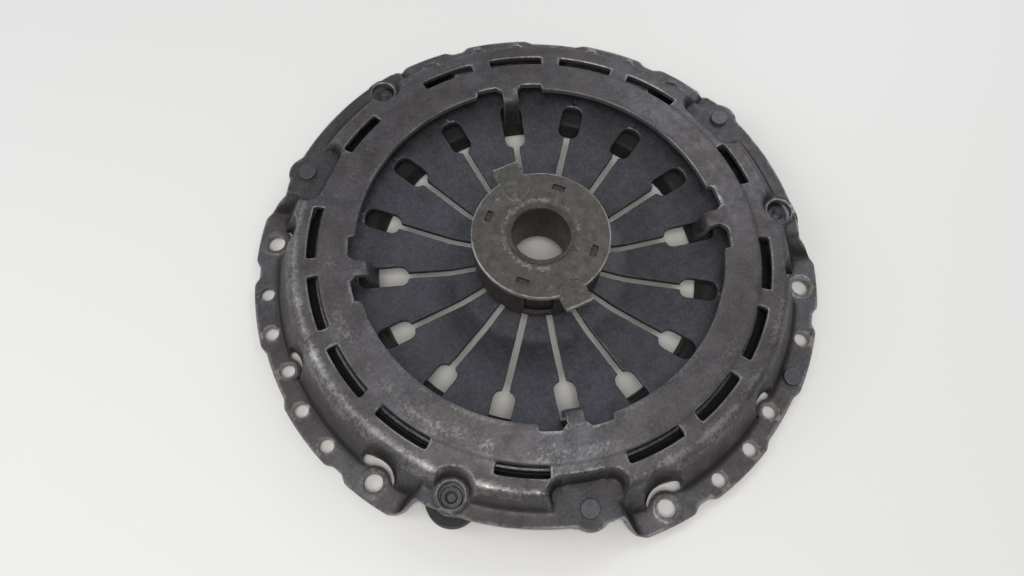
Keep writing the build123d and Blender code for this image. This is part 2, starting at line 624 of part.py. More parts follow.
def make_balance_rivet():
    """The balancing rivet in one of the flange's small holes."""
    shank = SMALL_HOLE / 2
    head = BALANCE_HEAD / 2
    outline = [(0, 0), (shank, 0), (shank, SHEET), (head, SHEET), (head, SHEET + BALANCE_HEAD_HEIGHT),
               (0, SHEET + BALANCE_HEAD_HEIGHT)]
    body = revolved(outline, [0, 0, 0, 0, BALANCE_EDGE, 0])
    angle = sector_angle(BALANCE_SECTOR, False) + BALANCE_HOLE * SMALL_HOLE_PITCH
    return turned(Pos(SMALL_HOLE_RADIUS, 0, 0) * body, angle)


# ---------------------------------------------------------------- release bearing
PLATE_UNDERSIDE = FORK_PLATE_TOP - FORK_PLATE_THICKNESS


def make_fork_plate():
    """The disc that the release fork pulls, with its two raised tabs on Y."""
    disc = tube(FORK_PLATE_RADIUS, SLEEVE_RADIUS, PLATE_UNDERSIDE, FORK_PLATE_TOP)
    cap = FORK_TAB_WIDTH / 4
    root = FORK_TAB_INNER + cap
    length = FORK_TAB_REACH - root
    plan = Pos(root + length / 2, 0) * Rectangle(length, FORK_TAB_WIDTH)
    plan += Pos(root, 0) * Ellipse(cap, FORK_TAB_WIDTH / 2)
    tab = Pos(0, 0, PLATE_UNDERSIDE) * extrude(plan, FORK_PLATE_THICKNESS + FORK_TAB_RISE)
    seat_start = HOUSING_RADIUS + FORK_SEAT_GAP
    seat_length = 2 * (FORK_TAB_REACH - seat_start)
    seat = Pos(seat_start + seat_length / 2, 0, PLATE_UNDERSIDE) * Box(
        seat_length, 2 * FORK_PLATE_RADIUS, 2 * FORK_TAB_RISE)
    for side in (90, 270):
        disc += turned(tab, side)
        disc -= turned(seat, side)
    slot = Pos(CLIP_RADIUS, 0, PLATE_UNDERSIDE) * Box(CLIP_WIDTH, CLIP_LENGTH, CUT)
    for cutter in ring_of(slot, CLIP_COUNT, CLIP_CLOCKING):
        disc -= cutter
    rim = disc.edges().filter_by(GeomType.CIRCLE).filter_by(
        lambda edge: abs(edge.radius - FORK_PLATE_RADIUS) < 1e-3 and edge.center().Z > PLATE_UNDERSIDE + 1)
    return chamfer(rim, FORK_PLATE_CHAMFER)


def make_sleeve():
    """The guide sleeve that slides on the gearbox's guide tube."""
    top = FORK_PLATE_TOP + SLEEVE_STAND
    return revolved([
        (BORE_RADIUS, SLEEVE_BOTTOM), (SLEEVE_RADIUS, SLEEVE_BOTTOM), (SLEEVE_RADIUS, top),
        (BORE_RADIUS + SLEEVE_CHAMFER, top), (BORE_RADIUS, top - SLEEVE_CHAMFER)])


def make_housing():
    """The pressed housing under the fork plate, with two side windows and four clips."""
    inner = HOUSING_RADIUS - HOUSING_WALL
    rim_top = PLATE_UNDERSIDE - HOUSING_LIP
    floor = HOUSING_BOTTOM + HOUSING_LIP
    shell = revolved([
        (HOUSING_BOTTOM_LIP, HOUSING_BOTTOM), (HOUSING_RADIUS, HOUSING_BOTTOM),
        (HOUSING_RADIUS, PLATE_UNDERSIDE), (HOUSING_TOP_LIP, PLATE_UNDERSIDE),
        (HOUSING_TOP_LIP, rim_top), (inner, rim_top), (inner, floor), (HOUSING_BOTTOM_LIP, floor)],
        [0, HOUSING_FOOT_ROUND, HOUSING_TOP_ROUND, 0, 0, 0, 0, 0])
    height = rim_top - HOUSING_WINDOW_GAP - HOUSING_WINDOW_BOTTOM
    opening = Pos(HOUSING_RADIUS, 0, HOUSING_WINDOW_BOTTOM + height / 2) * Box(
        3 * HOUSING_WALL, HOUSING_WINDOW_WIDTH, height)
    for cutter in ring_of(opening, 2, HOUSING_WINDOW_ANGLE):
        shell -= cutter
    clip = Pos(CLIP_RADIUS, 0, rim_top + (CLIP_STAND + HOUSING_LIP) / 2) * Box(
        CLIP_WIDTH - 2 * CLIP_CLEARANCE, CLIP_LENGTH - 2 * CLIP_CLEARANCE, CLIP_STAND + HOUSING_LIP)
    for piece in ring_of(clip, CLIP_COUNT, CLIP_CLOCKING):
        shell += piece
    return shell


def race_groove():
    """The ring of space that the balls roll in."""
    face = Pos(BALL_CIRCLE, BALL_HEIGHT) * Circle(BALL / 2 + BALL_CLEARANCE)
    return revolve(Plane.XZ * face, Axis.Z, 360)


def make_outer_race():
    """The race that stands still in the housing."""
    ring = tube(OUTER_RACE_RADIUS, OUTER_RACE_BORE, HOUSING_BOTTOM + HOUSING_LIP, OUTER_RACE_TOP)
    return ring - race_groove()


def make_centring_washer():
    """The dished washer that holds the race down and lets it find its centre."""
    top = PLATE_UNDERSIDE - HOUSING_LIP
    low = OUTER_RACE_BORE + CENTRING_INSET
    return revolved([
        (low, OUTER_RACE_TOP), (low + CENTRING_WIDTH, OUTER_RACE_TOP),
        (OUTER_RACE_RADIUS, top), (OUTER_RACE_RADIUS - CENTRING_WIDTH, top)])


SNAP_RADIUS = HUB_TUBE_RADIUS + SNAP_WIRE / 2 - SNAP_GROOVE
SNAP_HEIGHT = HUB_TUBE_BOTTOM + SNAP_EDGE + SNAP_WIRE / 2


def make_inner_race():
    """The turning race, drawn out into the tube that passes through the fingers."""
    ring = revolved([
        (INNER_RACE_BORE, HUB_TUBE_BOTTOM), (HUB_TUBE_RADIUS, HUB_TUBE_BOTTOM),
        (HUB_TUBE_RADIUS, INNER_RACE_BOTTOM), (INNER_RACE_RADIUS, INNER_RACE_BOTTOM),
        (INNER_RACE_RADIUS, OUTER_RACE_TOP), (INNER_RACE_BORE, OUTER_RACE_TOP)])
    wire = Pos(SNAP_RADIUS, SNAP_HEIGHT) * Circle(SNAP_WIRE / 2 + GROOVE_CLEARANCE)
    return ring - race_groove() - revolve(Plane.XZ * wire, Axis.Z, 360)


def make_snap_ring():
    """The split wire ring in the groove below the thrust ring."""
    wire = Pos(SNAP_RADIUS, SNAP_HEIGHT) * Circle(SNAP_WIRE / 2)
    return revolve(Plane.XZ * wire, Axis.Z, SNAP_TURN)


def make_thrust_ring():
    """The ring under the fingers that pulls them up."""
    top = along(SPRING_LINE, THRUST_CONTACT) - SPRING_THICKNESS / 2 - THRUST_CLEARANCE
    bottom = SNAP_HEIGHT + SNAP_WIRE / 2 + HUB_TUBE_CLEARANCE
    bore = HUB_TUBE_RADIUS + HUB_TUBE_CLEARANCE
    side = top - THRUST_FALL
    return revolved([
        (bore, bottom), (THRUST_RADIUS, bottom), (THRUST_RADIUS, side), (THRUST_CONTACT + THRUST_CREST, top),
        (THRUST_CONTACT - THRUST_CREST, top), (bore, side)],
        [0, 0.6, 0.4, 0.5, 0.5, 0])


def make_load_washer():
    """The dished washer between the bearing and the top of the fingers."""
    rest = along(SPRING_LINE, WASHER_RADIUS) + SPRING_THICKNESS / 2 + THRUST_CLEARANCE
    bore = HUB_TUBE_RADIUS + WASHER_CLEARANCE
    top = INNER_RACE_BOTTOM - WASHER_GAP
    return revolved([
        (bore, top - WASHER_THICKNESS), (WASHER_RADIUS, rest), (WASHER_RADIUS, rest + WASHER_THICKNESS),
        (bore + WASHER_LAP, top), (bore, top)])


def make_seal(bottom):
    """A lip seal between the races."""
    return tube(OUTER_RACE_BORE, INNER_RACE_RADIUS + SEAL_CLEARANCE, bottom, bottom + SEAL_THICKNESS)


def make_cage():
    """The ball cage."""
    ring = tube(CAGE_OUTER, CAGE_INNER, BALL_HEIGHT - CAGE_HALF_HEIGHT, BALL_HEIGHT + CAGE_HALF_HEIGHT)
    pocket = Pos(BALL_CIRCLE, 0, BALL_HEIGHT) * Rot(0, 90, 0) * Cylinder(BALL / 2 + CAGE_CLEARANCE, BALL)
    for cutter in ring_of(pocket, BALLS):
        ring -= cutter
    return ring


def make_balls():
    """The balls."""
    ball = Pos(BALL_CIRCLE, 0, BALL_HEIGHT) * Sphere(BALL / 2)
    return Compound(children=[one.solid() for one in ring_of(ball, BALLS)])


# ---------------------------------------------------------------- export
def build_nodes():
    """Every sub-part by the name of its node."""
    nodes = {
        "cover_shell": make_cover(),
        "fulcrum_ring": make_fulcrum_ring(),
        "diaphragm_spring": make_spring(),
        "cover_rivets": make_cover_rivets(),
        "balance_rivet": make_balance_rivet(),
        "pressure_plate": make_plate(),
        "plate_rivets": make_plate_rivets(),
        "fork_plate": make_fork_plate(),
        "guide_sleeve": make_sleeve(),
        "bearing_housing": make_housing(),
        "outer_race": make_outer_race(),
        "centring_washer": make_centring_washer(),
        "inner_race": make_inner_race(),
        "snap_ring": make_snap_ring(),
        "thrust_ring": make_thrust_ring(),
        "load_washer": make_load_washer(),
        "lower_seal": make_seal(HOUSING_BOTTOM + LOWER_SEAL_STAND),
        "upper_seal": make_seal(OUTER_RACE_TOP - SEAL_THICKNESS - UPPER_SEAL_INSET),
        "ball_cage": make_cage(),
        "bearing_balls": make_balls(),
    }
    for index in range(SECTORS):
        nodes[f"strap_pack_{index + 1}"] = make_strap_pack(index)
    return nodes


os.makedirs("parts", exist_ok=True)
for name, shape in build_nodes().items():
    export_step(shape, f"parts/{name}.step")
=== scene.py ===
"""Looks of a pull-type clutch pressure plate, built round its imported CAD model.

The pressed cover, the diaphragm's fingers, the drive straps, the fork plate and the small repeated
pieces are modelled here as finished shapes with worn edges. The other pieces keep their CAD shape and
get a finish. Lengths in the models are millimetres; the scene itself is in metres.
"""

from __future__ import annotations

import json
import logging
import math
from collections.abc import Callable, Sequence
from dataclasses import dataclass
from enum import Enum
from functools import cached_property, partial

import bmesh
import bpy
import numpy as np
from mathutils import Matrix, Vector
from mathutils.geometry import delaunay_2d_cdt
from mathutils.kdtree import KDTree

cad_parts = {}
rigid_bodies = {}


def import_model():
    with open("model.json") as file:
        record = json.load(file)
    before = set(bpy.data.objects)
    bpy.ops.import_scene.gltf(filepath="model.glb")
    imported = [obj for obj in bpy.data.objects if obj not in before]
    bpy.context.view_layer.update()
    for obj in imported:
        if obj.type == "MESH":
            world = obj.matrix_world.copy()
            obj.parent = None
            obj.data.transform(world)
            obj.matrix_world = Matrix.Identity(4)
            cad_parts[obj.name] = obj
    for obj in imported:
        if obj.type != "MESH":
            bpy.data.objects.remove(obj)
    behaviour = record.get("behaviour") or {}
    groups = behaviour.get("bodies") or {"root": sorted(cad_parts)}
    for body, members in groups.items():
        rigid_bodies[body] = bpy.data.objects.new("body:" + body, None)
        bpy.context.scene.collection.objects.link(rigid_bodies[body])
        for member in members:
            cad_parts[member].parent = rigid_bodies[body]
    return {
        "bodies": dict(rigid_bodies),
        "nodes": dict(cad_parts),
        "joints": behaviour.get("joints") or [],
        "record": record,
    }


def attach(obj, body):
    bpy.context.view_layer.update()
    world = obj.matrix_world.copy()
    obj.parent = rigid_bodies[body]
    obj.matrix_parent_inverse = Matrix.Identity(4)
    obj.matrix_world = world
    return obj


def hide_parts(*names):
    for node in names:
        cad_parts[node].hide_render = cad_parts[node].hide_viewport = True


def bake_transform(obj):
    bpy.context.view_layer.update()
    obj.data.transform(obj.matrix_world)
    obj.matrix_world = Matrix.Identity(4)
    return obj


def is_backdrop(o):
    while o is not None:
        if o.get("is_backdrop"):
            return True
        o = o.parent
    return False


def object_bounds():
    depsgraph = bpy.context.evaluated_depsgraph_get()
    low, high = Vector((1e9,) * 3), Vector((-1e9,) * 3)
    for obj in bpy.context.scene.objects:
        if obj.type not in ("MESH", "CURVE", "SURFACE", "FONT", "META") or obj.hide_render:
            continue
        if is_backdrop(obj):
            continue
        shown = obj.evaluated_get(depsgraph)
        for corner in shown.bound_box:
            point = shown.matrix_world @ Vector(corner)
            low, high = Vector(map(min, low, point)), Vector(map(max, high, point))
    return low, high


LOG = logging.getLogger("clutch")
MM = 0.001
SECTORS = 3
SECTOR = 360 / SECTORS
SHARP_ANGLE = 38.0
MATH = "ShaderNodeMath"

Point = tuple[float, float]
Line = tuple[Point, ...]
Colour = tuple[float, float, float, float]
Value = bpy.types.NodeSocket | float
Tint = bpy.types.NodeSocket | Colour
Inputs = dict[str | int, object] | Sequence
Height = Callable[[np.ndarray, np.ndarray, float], np.ndarray]
Amount = Callable[[np.ndarray, np.ndarray], np.ndarray]


# ---------------------------------------------------------------- finishes
class Wear(Enum):
    """Where a finish is worn through.

    EDGES wears the edges and any rings alike all round. CREST also wears the crests of bends, and shows
    both rings and crests stronger on the side that WearPattern names, as painted highlight.
    """

    NONE = "none"
    EDGES = "edges"
    CREST = "crest"


@dataclass(frozen=True)
class WearPattern:
    """How worn places are broken up.

    Attributes:
        side: The direction towards the lamps, in the scene's axes, where wear is shown stronger as painted
            highlight.
        highlight_slope: How fast that painted highlight grows towards that side.
        highlight_middle: Its share on the axis.
        patch_mm: The size of the worn patches.
        patch_least: The share of wear left between the patches.
        speckle_mm: The size of the specks along a worn place.
        edge_speckle: How far specks break up a worn edge.
        edge_gain: How sharp the border of a worn edge is.
        crest_speckle: How far specks break up a worn crest or ring.
        crest_start: How much wear a crest or ring needs to show.
        crest_gain: How sharp the border of a worn crest or ring is.
        band_gain: The strength of a ring against a crest.
        shelter: How fast hollows keep their finish.
        rubbed: How bright rubbed seats are.
        smoothing: How much smoother bare metal is.
        metal: How much more metallic it is.
    """

    side: tuple[float, float, float] = (-0.75, -0.66, 0.0)
    highlight_slope: float = 2.4
    highlight_middle: float = 0.62
    patch_mm: float = 20.0
    patch_least: float = 0.4
    speckle_mm: float = 1.6
    edge_speckle: float = 0.3
    edge_gain: float = 2.4
    crest_speckle: float = 0.5
    crest_start: float = 0.55
    crest_gain: float = 1.9
    band_gain: float = 1.6
    shelter: float = 2.0
    rubbed: float = 0.8
    smoothing: float = 0.12
    metal: float = 0.4


WEAR_PATTERN = WearPattern()
# The patterns that all finishes share. Sizes are shares of the mottling's.
NOISE_ROUGHNESS = 0.6
FLECK_SIZE = 0.12
FLECK_AMOUNT = 0.22
UNEVEN_SIZE = 0.4
UNEVEN_AMOUNT = 0.16
TURNED_AMOUNT = 0.4
BUMP_STRENGTH = 0.6


@dataclass(frozen=True)
class Finish:
    """One surface finish. Lengths are the real sizes of its patterns in millimetres.

    Attributes:
        name: The real finish, which names the material.
        base: Its main colour.
        shade: The colour it is mottled with.
        metallic: How metallic it is.
        roughness: Its mean roughness.
        mottle_mm: The size of the mottling.
        stain: The colour of its large stains.
        stain_amount: Their strength.
        stain_mm: Their size.
        bare: The colour of the metal under it.
        wear: Where it is worn through.
        wear_amount: How far.
        shade_and_dirt_colour: The colour of painted shade in hollows, under sheets, down the tabs and in
            shade rings, and of dirt.
        shade_and_dirt_amount: How much the hollow mask darkens it: painted shade with some dirt in hollows,
            painted shade under sheets and down the tabs, and darker strap ledges.
        bands: Worn rings as radius, half width and strength.
        shade_rings: Rings of painted shade as radius, half width and strength.
        grain_mm: The size of the grain.
        grain_depth_mm: Its depth.
        turned_mm: The pitch of turning marks, or 0.
    """

    name: str
    base: str
    shade: str
    metallic: float
    roughness: float
    mottle_mm: float = 14.0
    stain: str = "#3A322C"
    stain_amount: float = 0.0
    stain_mm: float = 60.0
    bare: str = "#A5A3A0"
    wear: Wear = Wear.NONE
    wear_amount: float = 0.5
    shade_and_dirt_colour: str = "#1F1C1B"
    shade_and_dirt_amount: float = 0.0
    bands: tuple[tuple[float, float, float], ...] = ()
    shade_rings: tuple[tuple[float, float, float], ...] = ()
    grain_mm: float = 0.7
    grain_depth_mm: float = 0.03
    turned_mm: float = 0.0


# Real grains are usually a few hundredths of a millimetre wide and turning marks 0.2 to 0.3 mm apart. That
# is too fine to show, so both are drawn as coarse as they need to be.

# Phosphated and oiled: a dark soft sheen with rusty stains, bright where a bend or an edge is worn,
# more so on the lamp side as painted highlight; hollows, undersides and the tabs' legs are darkened
# with painted shade and some dirt.
COVER_STEEL = Finish(
    "oiled phosphate on pressed steel", "#4F4E53", "#38373B", 0.5, 0.5, 11.0, "#40352F", 0.45, 55.0,
    "#8A8784", Wear.CREST, 0.62, shade_and_dirt_amount=0.75,
    bands=((92.0, 3.0, 0.7), (119.8, 4.6, 0.95), (103.0, 11.0, 0.55)),
    grain_mm=0.8, grain_depth_mm=0.05)
# Blued by its tempering: smooth, cold and dark, with a low shine.
SPRING_STEEL = Finish(
    "blued spring steel", "#404147", "#37383D", 0.65, 0.42, 13.0, "#3A3633", 0.25, 35.0,
    "#77777B", Wear.EDGES, 0.25, grain_mm=0.5, grain_depth_mm=0.02)
# Cold rolled and clean: smoother and brighter than the pressings round it.
STRAP_STEEL = Finish(
    "rolled spring strip", "#5A5A60", "#4C4C52", 0.9, 0.36, 9.0, wear=Wear.EDGES, wear_amount=0.4)
# Headed and dulled by oil: a plain dark grey with lighter edges.
RIVET_STEEL = Finish(
    "dull rivet skin", "#454448", "#363539", 0.6, 0.45, 4.0, wear=Wear.EDGES, wear_amount=0.5, grain_mm=0.4)
# Turned and left bare: rough, rusty in places, with fine rings. Nearly black: the iron's own dark grey,
# darkened further as painted shade where the plate is seen down the spring's keyholes.
CAST_IRON = Finish(
    "grey cast iron", "#242323", "#191818", 0.35, 0.65, 8.0, "#2C221B", 0.25, 30.0,
    "#5A5856", Wear.EDGES, 0.3, grain_mm=0.6, grain_depth_mm=0.08, turned_mm=0.5)
# Drawn through a die: an even grey with a soft shine.
WIRE_STEEL = Finish("drawn steel wire", "#3C3C40", "#323236", 0.9, 0.38, 6.0)
# Phosphate under dried grease: brown and grey patches, rubbed brighter in two rings.
PLATE_STEEL = Finish(
    "phosphated plate with dried grease", "#4B4A47", "#2E2D2A", 0.45, 0.5, 4.0, "#463C32", 0.6, 11.0,
    "#A8A5A0", Wear.EDGES, 0.9, bands=((18.5, 5.0, 0.32), (28.0, 4.0, 0.22)),
    grain_mm=0.5, grain_depth_mm=0.05)
# Phosphate under old grease, with rusty brown stains; nearly black, its dark grease darkened further as
# painted shade where it is seen down the fork disc's slots.
HOUSING_STEEL = Finish(
    "greasy phosphated pressing", "#1D1B1A", "#161514", 0.3, 0.55, 8.0, "#4A2E22", 0.3, 16.0,
    "#8F8B86", Wear.EDGES, 0.3)
# Turned: fine rings with a dull shine at its end; further out, where it is seen only down the fork disc's
# slots, it is darkened with painted shade.
SLEEVE_STEEL = Finish(
    "turned steel sleeve", "#464340", "#383532", 0.6, 0.45, 6.0, "#1F1B18", 0.4, 14.0,
    shade_rings=((30.0, 12.0, 3.0),), turned_mm=0.6)
# Ground, then dulled by grease: an even shine, much darkened.
BEARING_STEEL = Finish("ground bearing steel under grease", "#3C3A38", "#2F2D2B", 0.8, 0.42, 9.0)
# Lapped and polished: a bright mirror.
BALL_STEEL = Finish("polished ball steel", "#B8B8BC", "#A8A8AE", 1.0, 0.08, 5.0)
# Moulded polymer: an even, half matt brown.
CAGE_POLYMER = Finish("moulded cage polymer", "#5B4A33", "#4E402C", 0.0, 0.5, 5.0)
# Moulded rubber: nearly black, with no shine.
SEAL_RUBBER = Finish("matt seal rubber", "#1E1E20", "#18181A", 0.0, 0.75, 4.0)

SLOT_FINISHES = {
    "cover_steel": COVER_STEEL,
    "spring_steel": SPRING_STEEL,
    "strap_steel": STRAP_STEEL,
    "rivet_steel": RIVET_STEEL,
    "cast_iron": CAST_IRON,
    "wire_steel": WIRE_STEEL,
    "bearing_plate_steel": PLATE_STEEL,
    "housing_steel": HOUSING_STEEL,
    "sleeve_steel": SLEEVE_STEEL,
    "bearing_steel": BEARING_STEEL,
    "ball_steel": BALL_STEEL,
    "cage_polymer": CAGE_POLYMER,
    "seal_rubber": SEAL_RUBBER,
}


def srgb(code: str) -> Colour:
    """Turns an sRGB hex code into a linear colour.

    Args:
        code: The colour as "#RRGGBB".

    Returns:
        The linear red, green, blue and alpha.
    """
    channels = [int(code[i:i + 2], 16) / 255 for i in (1, 3, 5)]
    linear = [c / 12.92 if c <= 0.04045 else ((c + 0.055) / 1.055) ** 2.4 for c in channels]
    return (*linear, 1.0)


def add_node(
    tree: bpy.types.NodeTree, kind: str, inputs: Inputs = (), output: str | int = 0, **settings: object
) -> bpy.types.NodeSocket | None:
    """Adds a node, sets its properties, and sets or links its inputs.

    Args:
        tree: The node tree.
        kind: The node's type name.
        inputs: Values or output sockets, by input name or index, or in the inputs' order.
        output: The name or index of the output that is wanted.
        **settings: Properties of the node itself.

    Returns:
        That output's socket, or None if the node has no outputs.
    """
    node = tree.nodes.new(kind)
    for key, value in settings.items():
        setattr(node, key, value)
    for key, value in inputs.items() if isinstance(inputs, dict) else enumerate(inputs):
        if isinstance(value, bpy.types.NodeSocket):
            tree.links.new(value, node.inputs[key])
        else:
            node.inputs[key].default_value = value
    return node.outputs[output] if len(node.outputs) else None


class FinishBuilder:
    """Builds one procedural material from a finish."""

    def __init__(self, finish: Finish) -> None:
        """Starts an empty material.

        Args:
            finish: The finish to build.
        """
        self.finish = finish
        self.material = bpy.data.materials.new(finish.name)
        self.material.use_nodes = True
        self.material.node_tree.nodes.clear()
        self.add = partial(add_node, self.material.node_tree)
        self.place = self.add("ShaderNodeTexCoord", output="Object")

    def blotches(
        self, size_mm: float, detail: float = 4.0, low: float = 0.35, high: float = 0.65, least: float = 0.0,
        most: float = 1.0
    ) -> bpy.types.NodeSocket:
        """A pattern of blotches of a real size.

        Args:
            size_mm: The size of the blotches.
            detail: How many finer layers they have.
            low: The noise value that gives the least.
            high: The noise value that gives the most.
            least: The least value of the pattern.
            most: Its greatest value.

        Returns:
            The pattern's socket.
        """
        noise = self.add("ShaderNodeTexNoise", {
            "Vector": self.place, "Scale": 1 / (size_mm * MM), "Detail": detail,
            "Roughness": NOISE_ROUGHNESS}, output="Fac")
        return self.add("ShaderNodeMapRange", {
            "Value": noise, "From Min": low, "From Max": high, "To Min": least, "To Max": most},
            output="Result", clamp=True)

    def radius(self) -> bpy.types.NodeSocket:
        """The distance from the clutch's axis.

        Returns:
            The socket of the distance in millimetres.
        """
        flat = self.add("ShaderNodeVectorMath", (self.place, (1.0, 1.0, 0.0)), operation="MULTIPLY")
        length = self.add("ShaderNodeVectorMath", (flat,), output="Value", operation="LENGTH")
        return self.add(MATH, (length, 1 / MM), operation="MULTIPLY")

    def band(
        self, radius: bpy.types.NodeSocket, middle: float, half: float, strength: float
    ) -> bpy.types.NodeSocket:
        """A soft ring-shaped mask.

        Args:
            radius: The socket of the distance from the axis.
            middle: The ring's radius in millimetres.
            half: Its half width in millimetres.
            strength: Its value in the middle.

        Returns:
            The mask's socket.
        """
        off = self.add(MATH, (radius, middle), operation="SUBTRACT")
        away = self.add(MATH, (off,), operation="ABSOLUTE")
        share = self.add(MATH, (away, half), operation="DIVIDE")
        near = self.add(MATH, (1.0, share), operation="SUBTRACT", use_clamp=True)
        return self.add(MATH, (near, strength), operation="MULTIPLY")

    def broken(
        self, mask: Value, patterns: tuple[Value, Value], amount: float, start: float, gain: float
    ) -> bpy.types.NodeSocket:
        """A worn place broken up by patches and specks.

        Args:
            mask: How worn the place is.
            patterns: The patches and the specks.
            amount: How far specks break it up.
            start: How much wear it needs to show.
            gain: How sharp its border is.

        Returns:
            The socket of a mask from 0 to 1.
        """
        patches, specks = patterns
        reach = self.add(MATH, (mask, patches), operation="MULTIPLY")
        total = self.add(MATH, (specks, amount, reach), operation="MULTIPLY_ADD")
        over = self.add(MATH, (total, start), operation="SUBTRACT")
        return self.add(MATH, (over, gain), operation="MULTIPLY", use_clamp=True)

    def worn(self) -> bpy.types.NodeSocket:
        """How far the finish is worn through.

        Returns:
            The socket of a mask from 0 to 1.
        """
        add, finish, look = self.add, self.finish, WEAR_PATTERN
        kept = {name: add("ShaderNodeAttribute", output="Fac", attribute_name=name)
                for name in ("edge", "crest", "hollow", "rubbed")}
        patches = self.blotches(look.patch_mm, detail=3.0, low=0.38, high=0.62, least=look.patch_least)
        patterns = (patches, self.blotches(look.speckle_mm, low=0.25, high=0.75))
        edge = add(MATH, (kept["edge"], finish.wear_amount), operation="MULTIPLY")
        edges = self.broken(edge, patterns, look.edge_speckle, look.edge_speckle, look.edge_gain)
        if finish.wear is Wear.EDGES and not finish.bands:
            return edges
        mask = add(MATH, (kept["crest"], finish.wear_amount), operation="MULTIPLY")
        radius = self.radius()
        for middle, half, strength in finish.bands:
            ring = self.band(radius, middle, half, strength * finish.wear_amount * look.band_gain)
            mask = add(MATH, (mask, ring), operation="MAXIMUM")
        sheltered = add(MATH, (kept["hollow"], look.shelter), operation="MULTIPLY")
        exposed = add(MATH, (1.0, sheltered), operation="SUBTRACT", use_clamp=True)
        mask = add(MATH, (mask, exposed), operation="MULTIPLY")
        # Painted highlight: worn places fade away from the side towards the lamps.
        if finish.wear is Wear.CREST:
            mask = add(MATH, (mask, self.lamp_side_highlight()), operation="MULTIPLY")
        rubbed = add(MATH, (kept["rubbed"], look.rubbed), operation="MULTIPLY")
        mask = add(MATH, (mask, rubbed), operation="MAXIMUM")
        crests = self.broken(mask, patterns, look.crest_speckle, look.crest_start, look.crest_gain)
        return add(MATH, (crests, edges), operation="MAXIMUM")

    def lamp_side_highlight(self) -> bpy.types.NodeSocket:
        """How much a place lies on the side towards the lamps, where wear is shown stronger as painted
        highlight.

        Returns:
            The socket of a mask from 0 to 1.
        """
        slope, middle = WEAR_PATTERN.highlight_slope, WEAR_PATTERN.highlight_middle
        side = self.add(
            "ShaderNodeVectorMath", (self.place, WEAR_PATTERN.side), output="Value", operation="DOT_PRODUCT")
        return self.add(MATH, (side, slope, middle), operation="MULTIPLY_ADD", use_clamp=True)

    def build(self) -> bpy.types.Material:
        """Makes the node tree.

        Returns:
            The finished material.
        """
        add, finish = self.add, self.finish
        flecks = self.blotches(
            finish.mottle_mm * FLECK_SIZE, detail=3.0, low=0.4, high=0.75, most=FLECK_AMOUNT)
        layers = [(self.blotches(finish.mottle_mm), finish.shade), (flecks, finish.bare)]
        if finish.stain_amount:
            stains = self.blotches(finish.stain_mm, detail=3.0, most=finish.stain_amount)
            layers.append((stains, finish.stain))
        smoothest = finish.roughness - UNEVEN_AMOUNT / 2
        rough = self.blotches(
            finish.mottle_mm * UNEVEN_SIZE, least=smoothest, most=smoothest + UNEVEN_AMOUNT)
        # Painted shade, with some dirt in hollows: the mask darkens hollows, undersides, the tabs' legs and
        # the strap ledges.
        if finish.shade_and_dirt_amount:
            hollow = add("ShaderNodeAttribute", output="Fac", attribute_name="hollow")
            layers.append((add(MATH, (hollow, finish.shade_and_dirt_amount), operation="MULTIPLY"), finish.shade_and_dirt_colour))
        # Rings of painted shade.
        for ring in finish.shade_rings:
            layers.append((self.band(self.radius(), *ring), finish.shade_and_dirt_colour))
        metallic: Value = finish.metallic
        if finish.wear is not Wear.NONE:
            worn, look = self.worn(), WEAR_PATTERN
            layers.append((worn, finish.bare))
            smoother = add(MATH, (worn, look.smoothing), operation="MULTIPLY")
            rough = add(MATH, (rough, smoother), operation="SUBTRACT", use_clamp=True)
            metallic = add(MATH, (worn, look.metal, metallic), operation="MULTIPLY_ADD", use_clamp=True)
        colour: Tint = srgb(finish.base)
        for mask, tint in layers:
            colour = add(
                "ShaderNodeMix", {"Factor": mask, 6: colour, 7: srgb(tint)}, output=2, data_type="RGBA")
        grain = self.blotches(finish.grain_mm, detail=3.0, low=0.25, high=0.75)
        if finish.turned_mm:
            turns = add(MATH, (self.radius(), 2 * math.pi / finish.turned_mm), operation="MULTIPLY")
            marks = add(MATH, (turns,), operation="SINE")
            grain = add(MATH, (marks, TURNED_AMOUNT, grain), operation="MULTIPLY_ADD")
        bumped = add("ShaderNodeBump", {
            "Height": grain, "Distance": finish.grain_depth_mm * MM, "Strength": BUMP_STRENGTH})
        shader = add("ShaderNodeBsdfPrincipled", {
            "Base Color": colour, "Roughness": rough, "Metallic": metallic, "Normal": bumped})
        add("ShaderNodeOutputMaterial", {"Surface": shader})
        return self.material


class Finishes:
    """The scene's materials, each built once, and a note of the pieces that got them."""

    def __init__(self) -> None:
        """Starts with none built."""
        self._made: dict[str, bpy.types.Material] = {}
        self.painted: list[tuple[str, str, int]] = []

    def of(self, finish: Finish) -> bpy.types.Material:
        """Finds or builds the material of a finish.

        Args:
            finish: The finish.

        Returns:
            Its material.
        """
        if finish.name not in self._made:
            self._made[finish.name] = FinishBuilder(finish).build()
        return self._made[finish.name]

    def paint(self, obj: bpy.types.Object, slot: str) -> None:
        """Gives a piece the finish of a material slot.

        Args:
            obj: The piece.
            slot: The record's material slot.
        """
        finish = SLOT_FINISHES[slot]
        obj.data.materials.clear()
        obj.data.materials.append(self.of(finish))
        self.painted.append((obj.name, finish.name, len(obj.data.polygons)))

    def paint_nodes(self, frame: dict) -> None:
        """Gives every CAD piece the finish of its slot in the record.
        """
        slots = {part["node"]: part["material_slot"] for part in frame["record"]["subparts"]}
        for node, obj in frame["nodes"].items():
            self.paint(obj, slots[node])


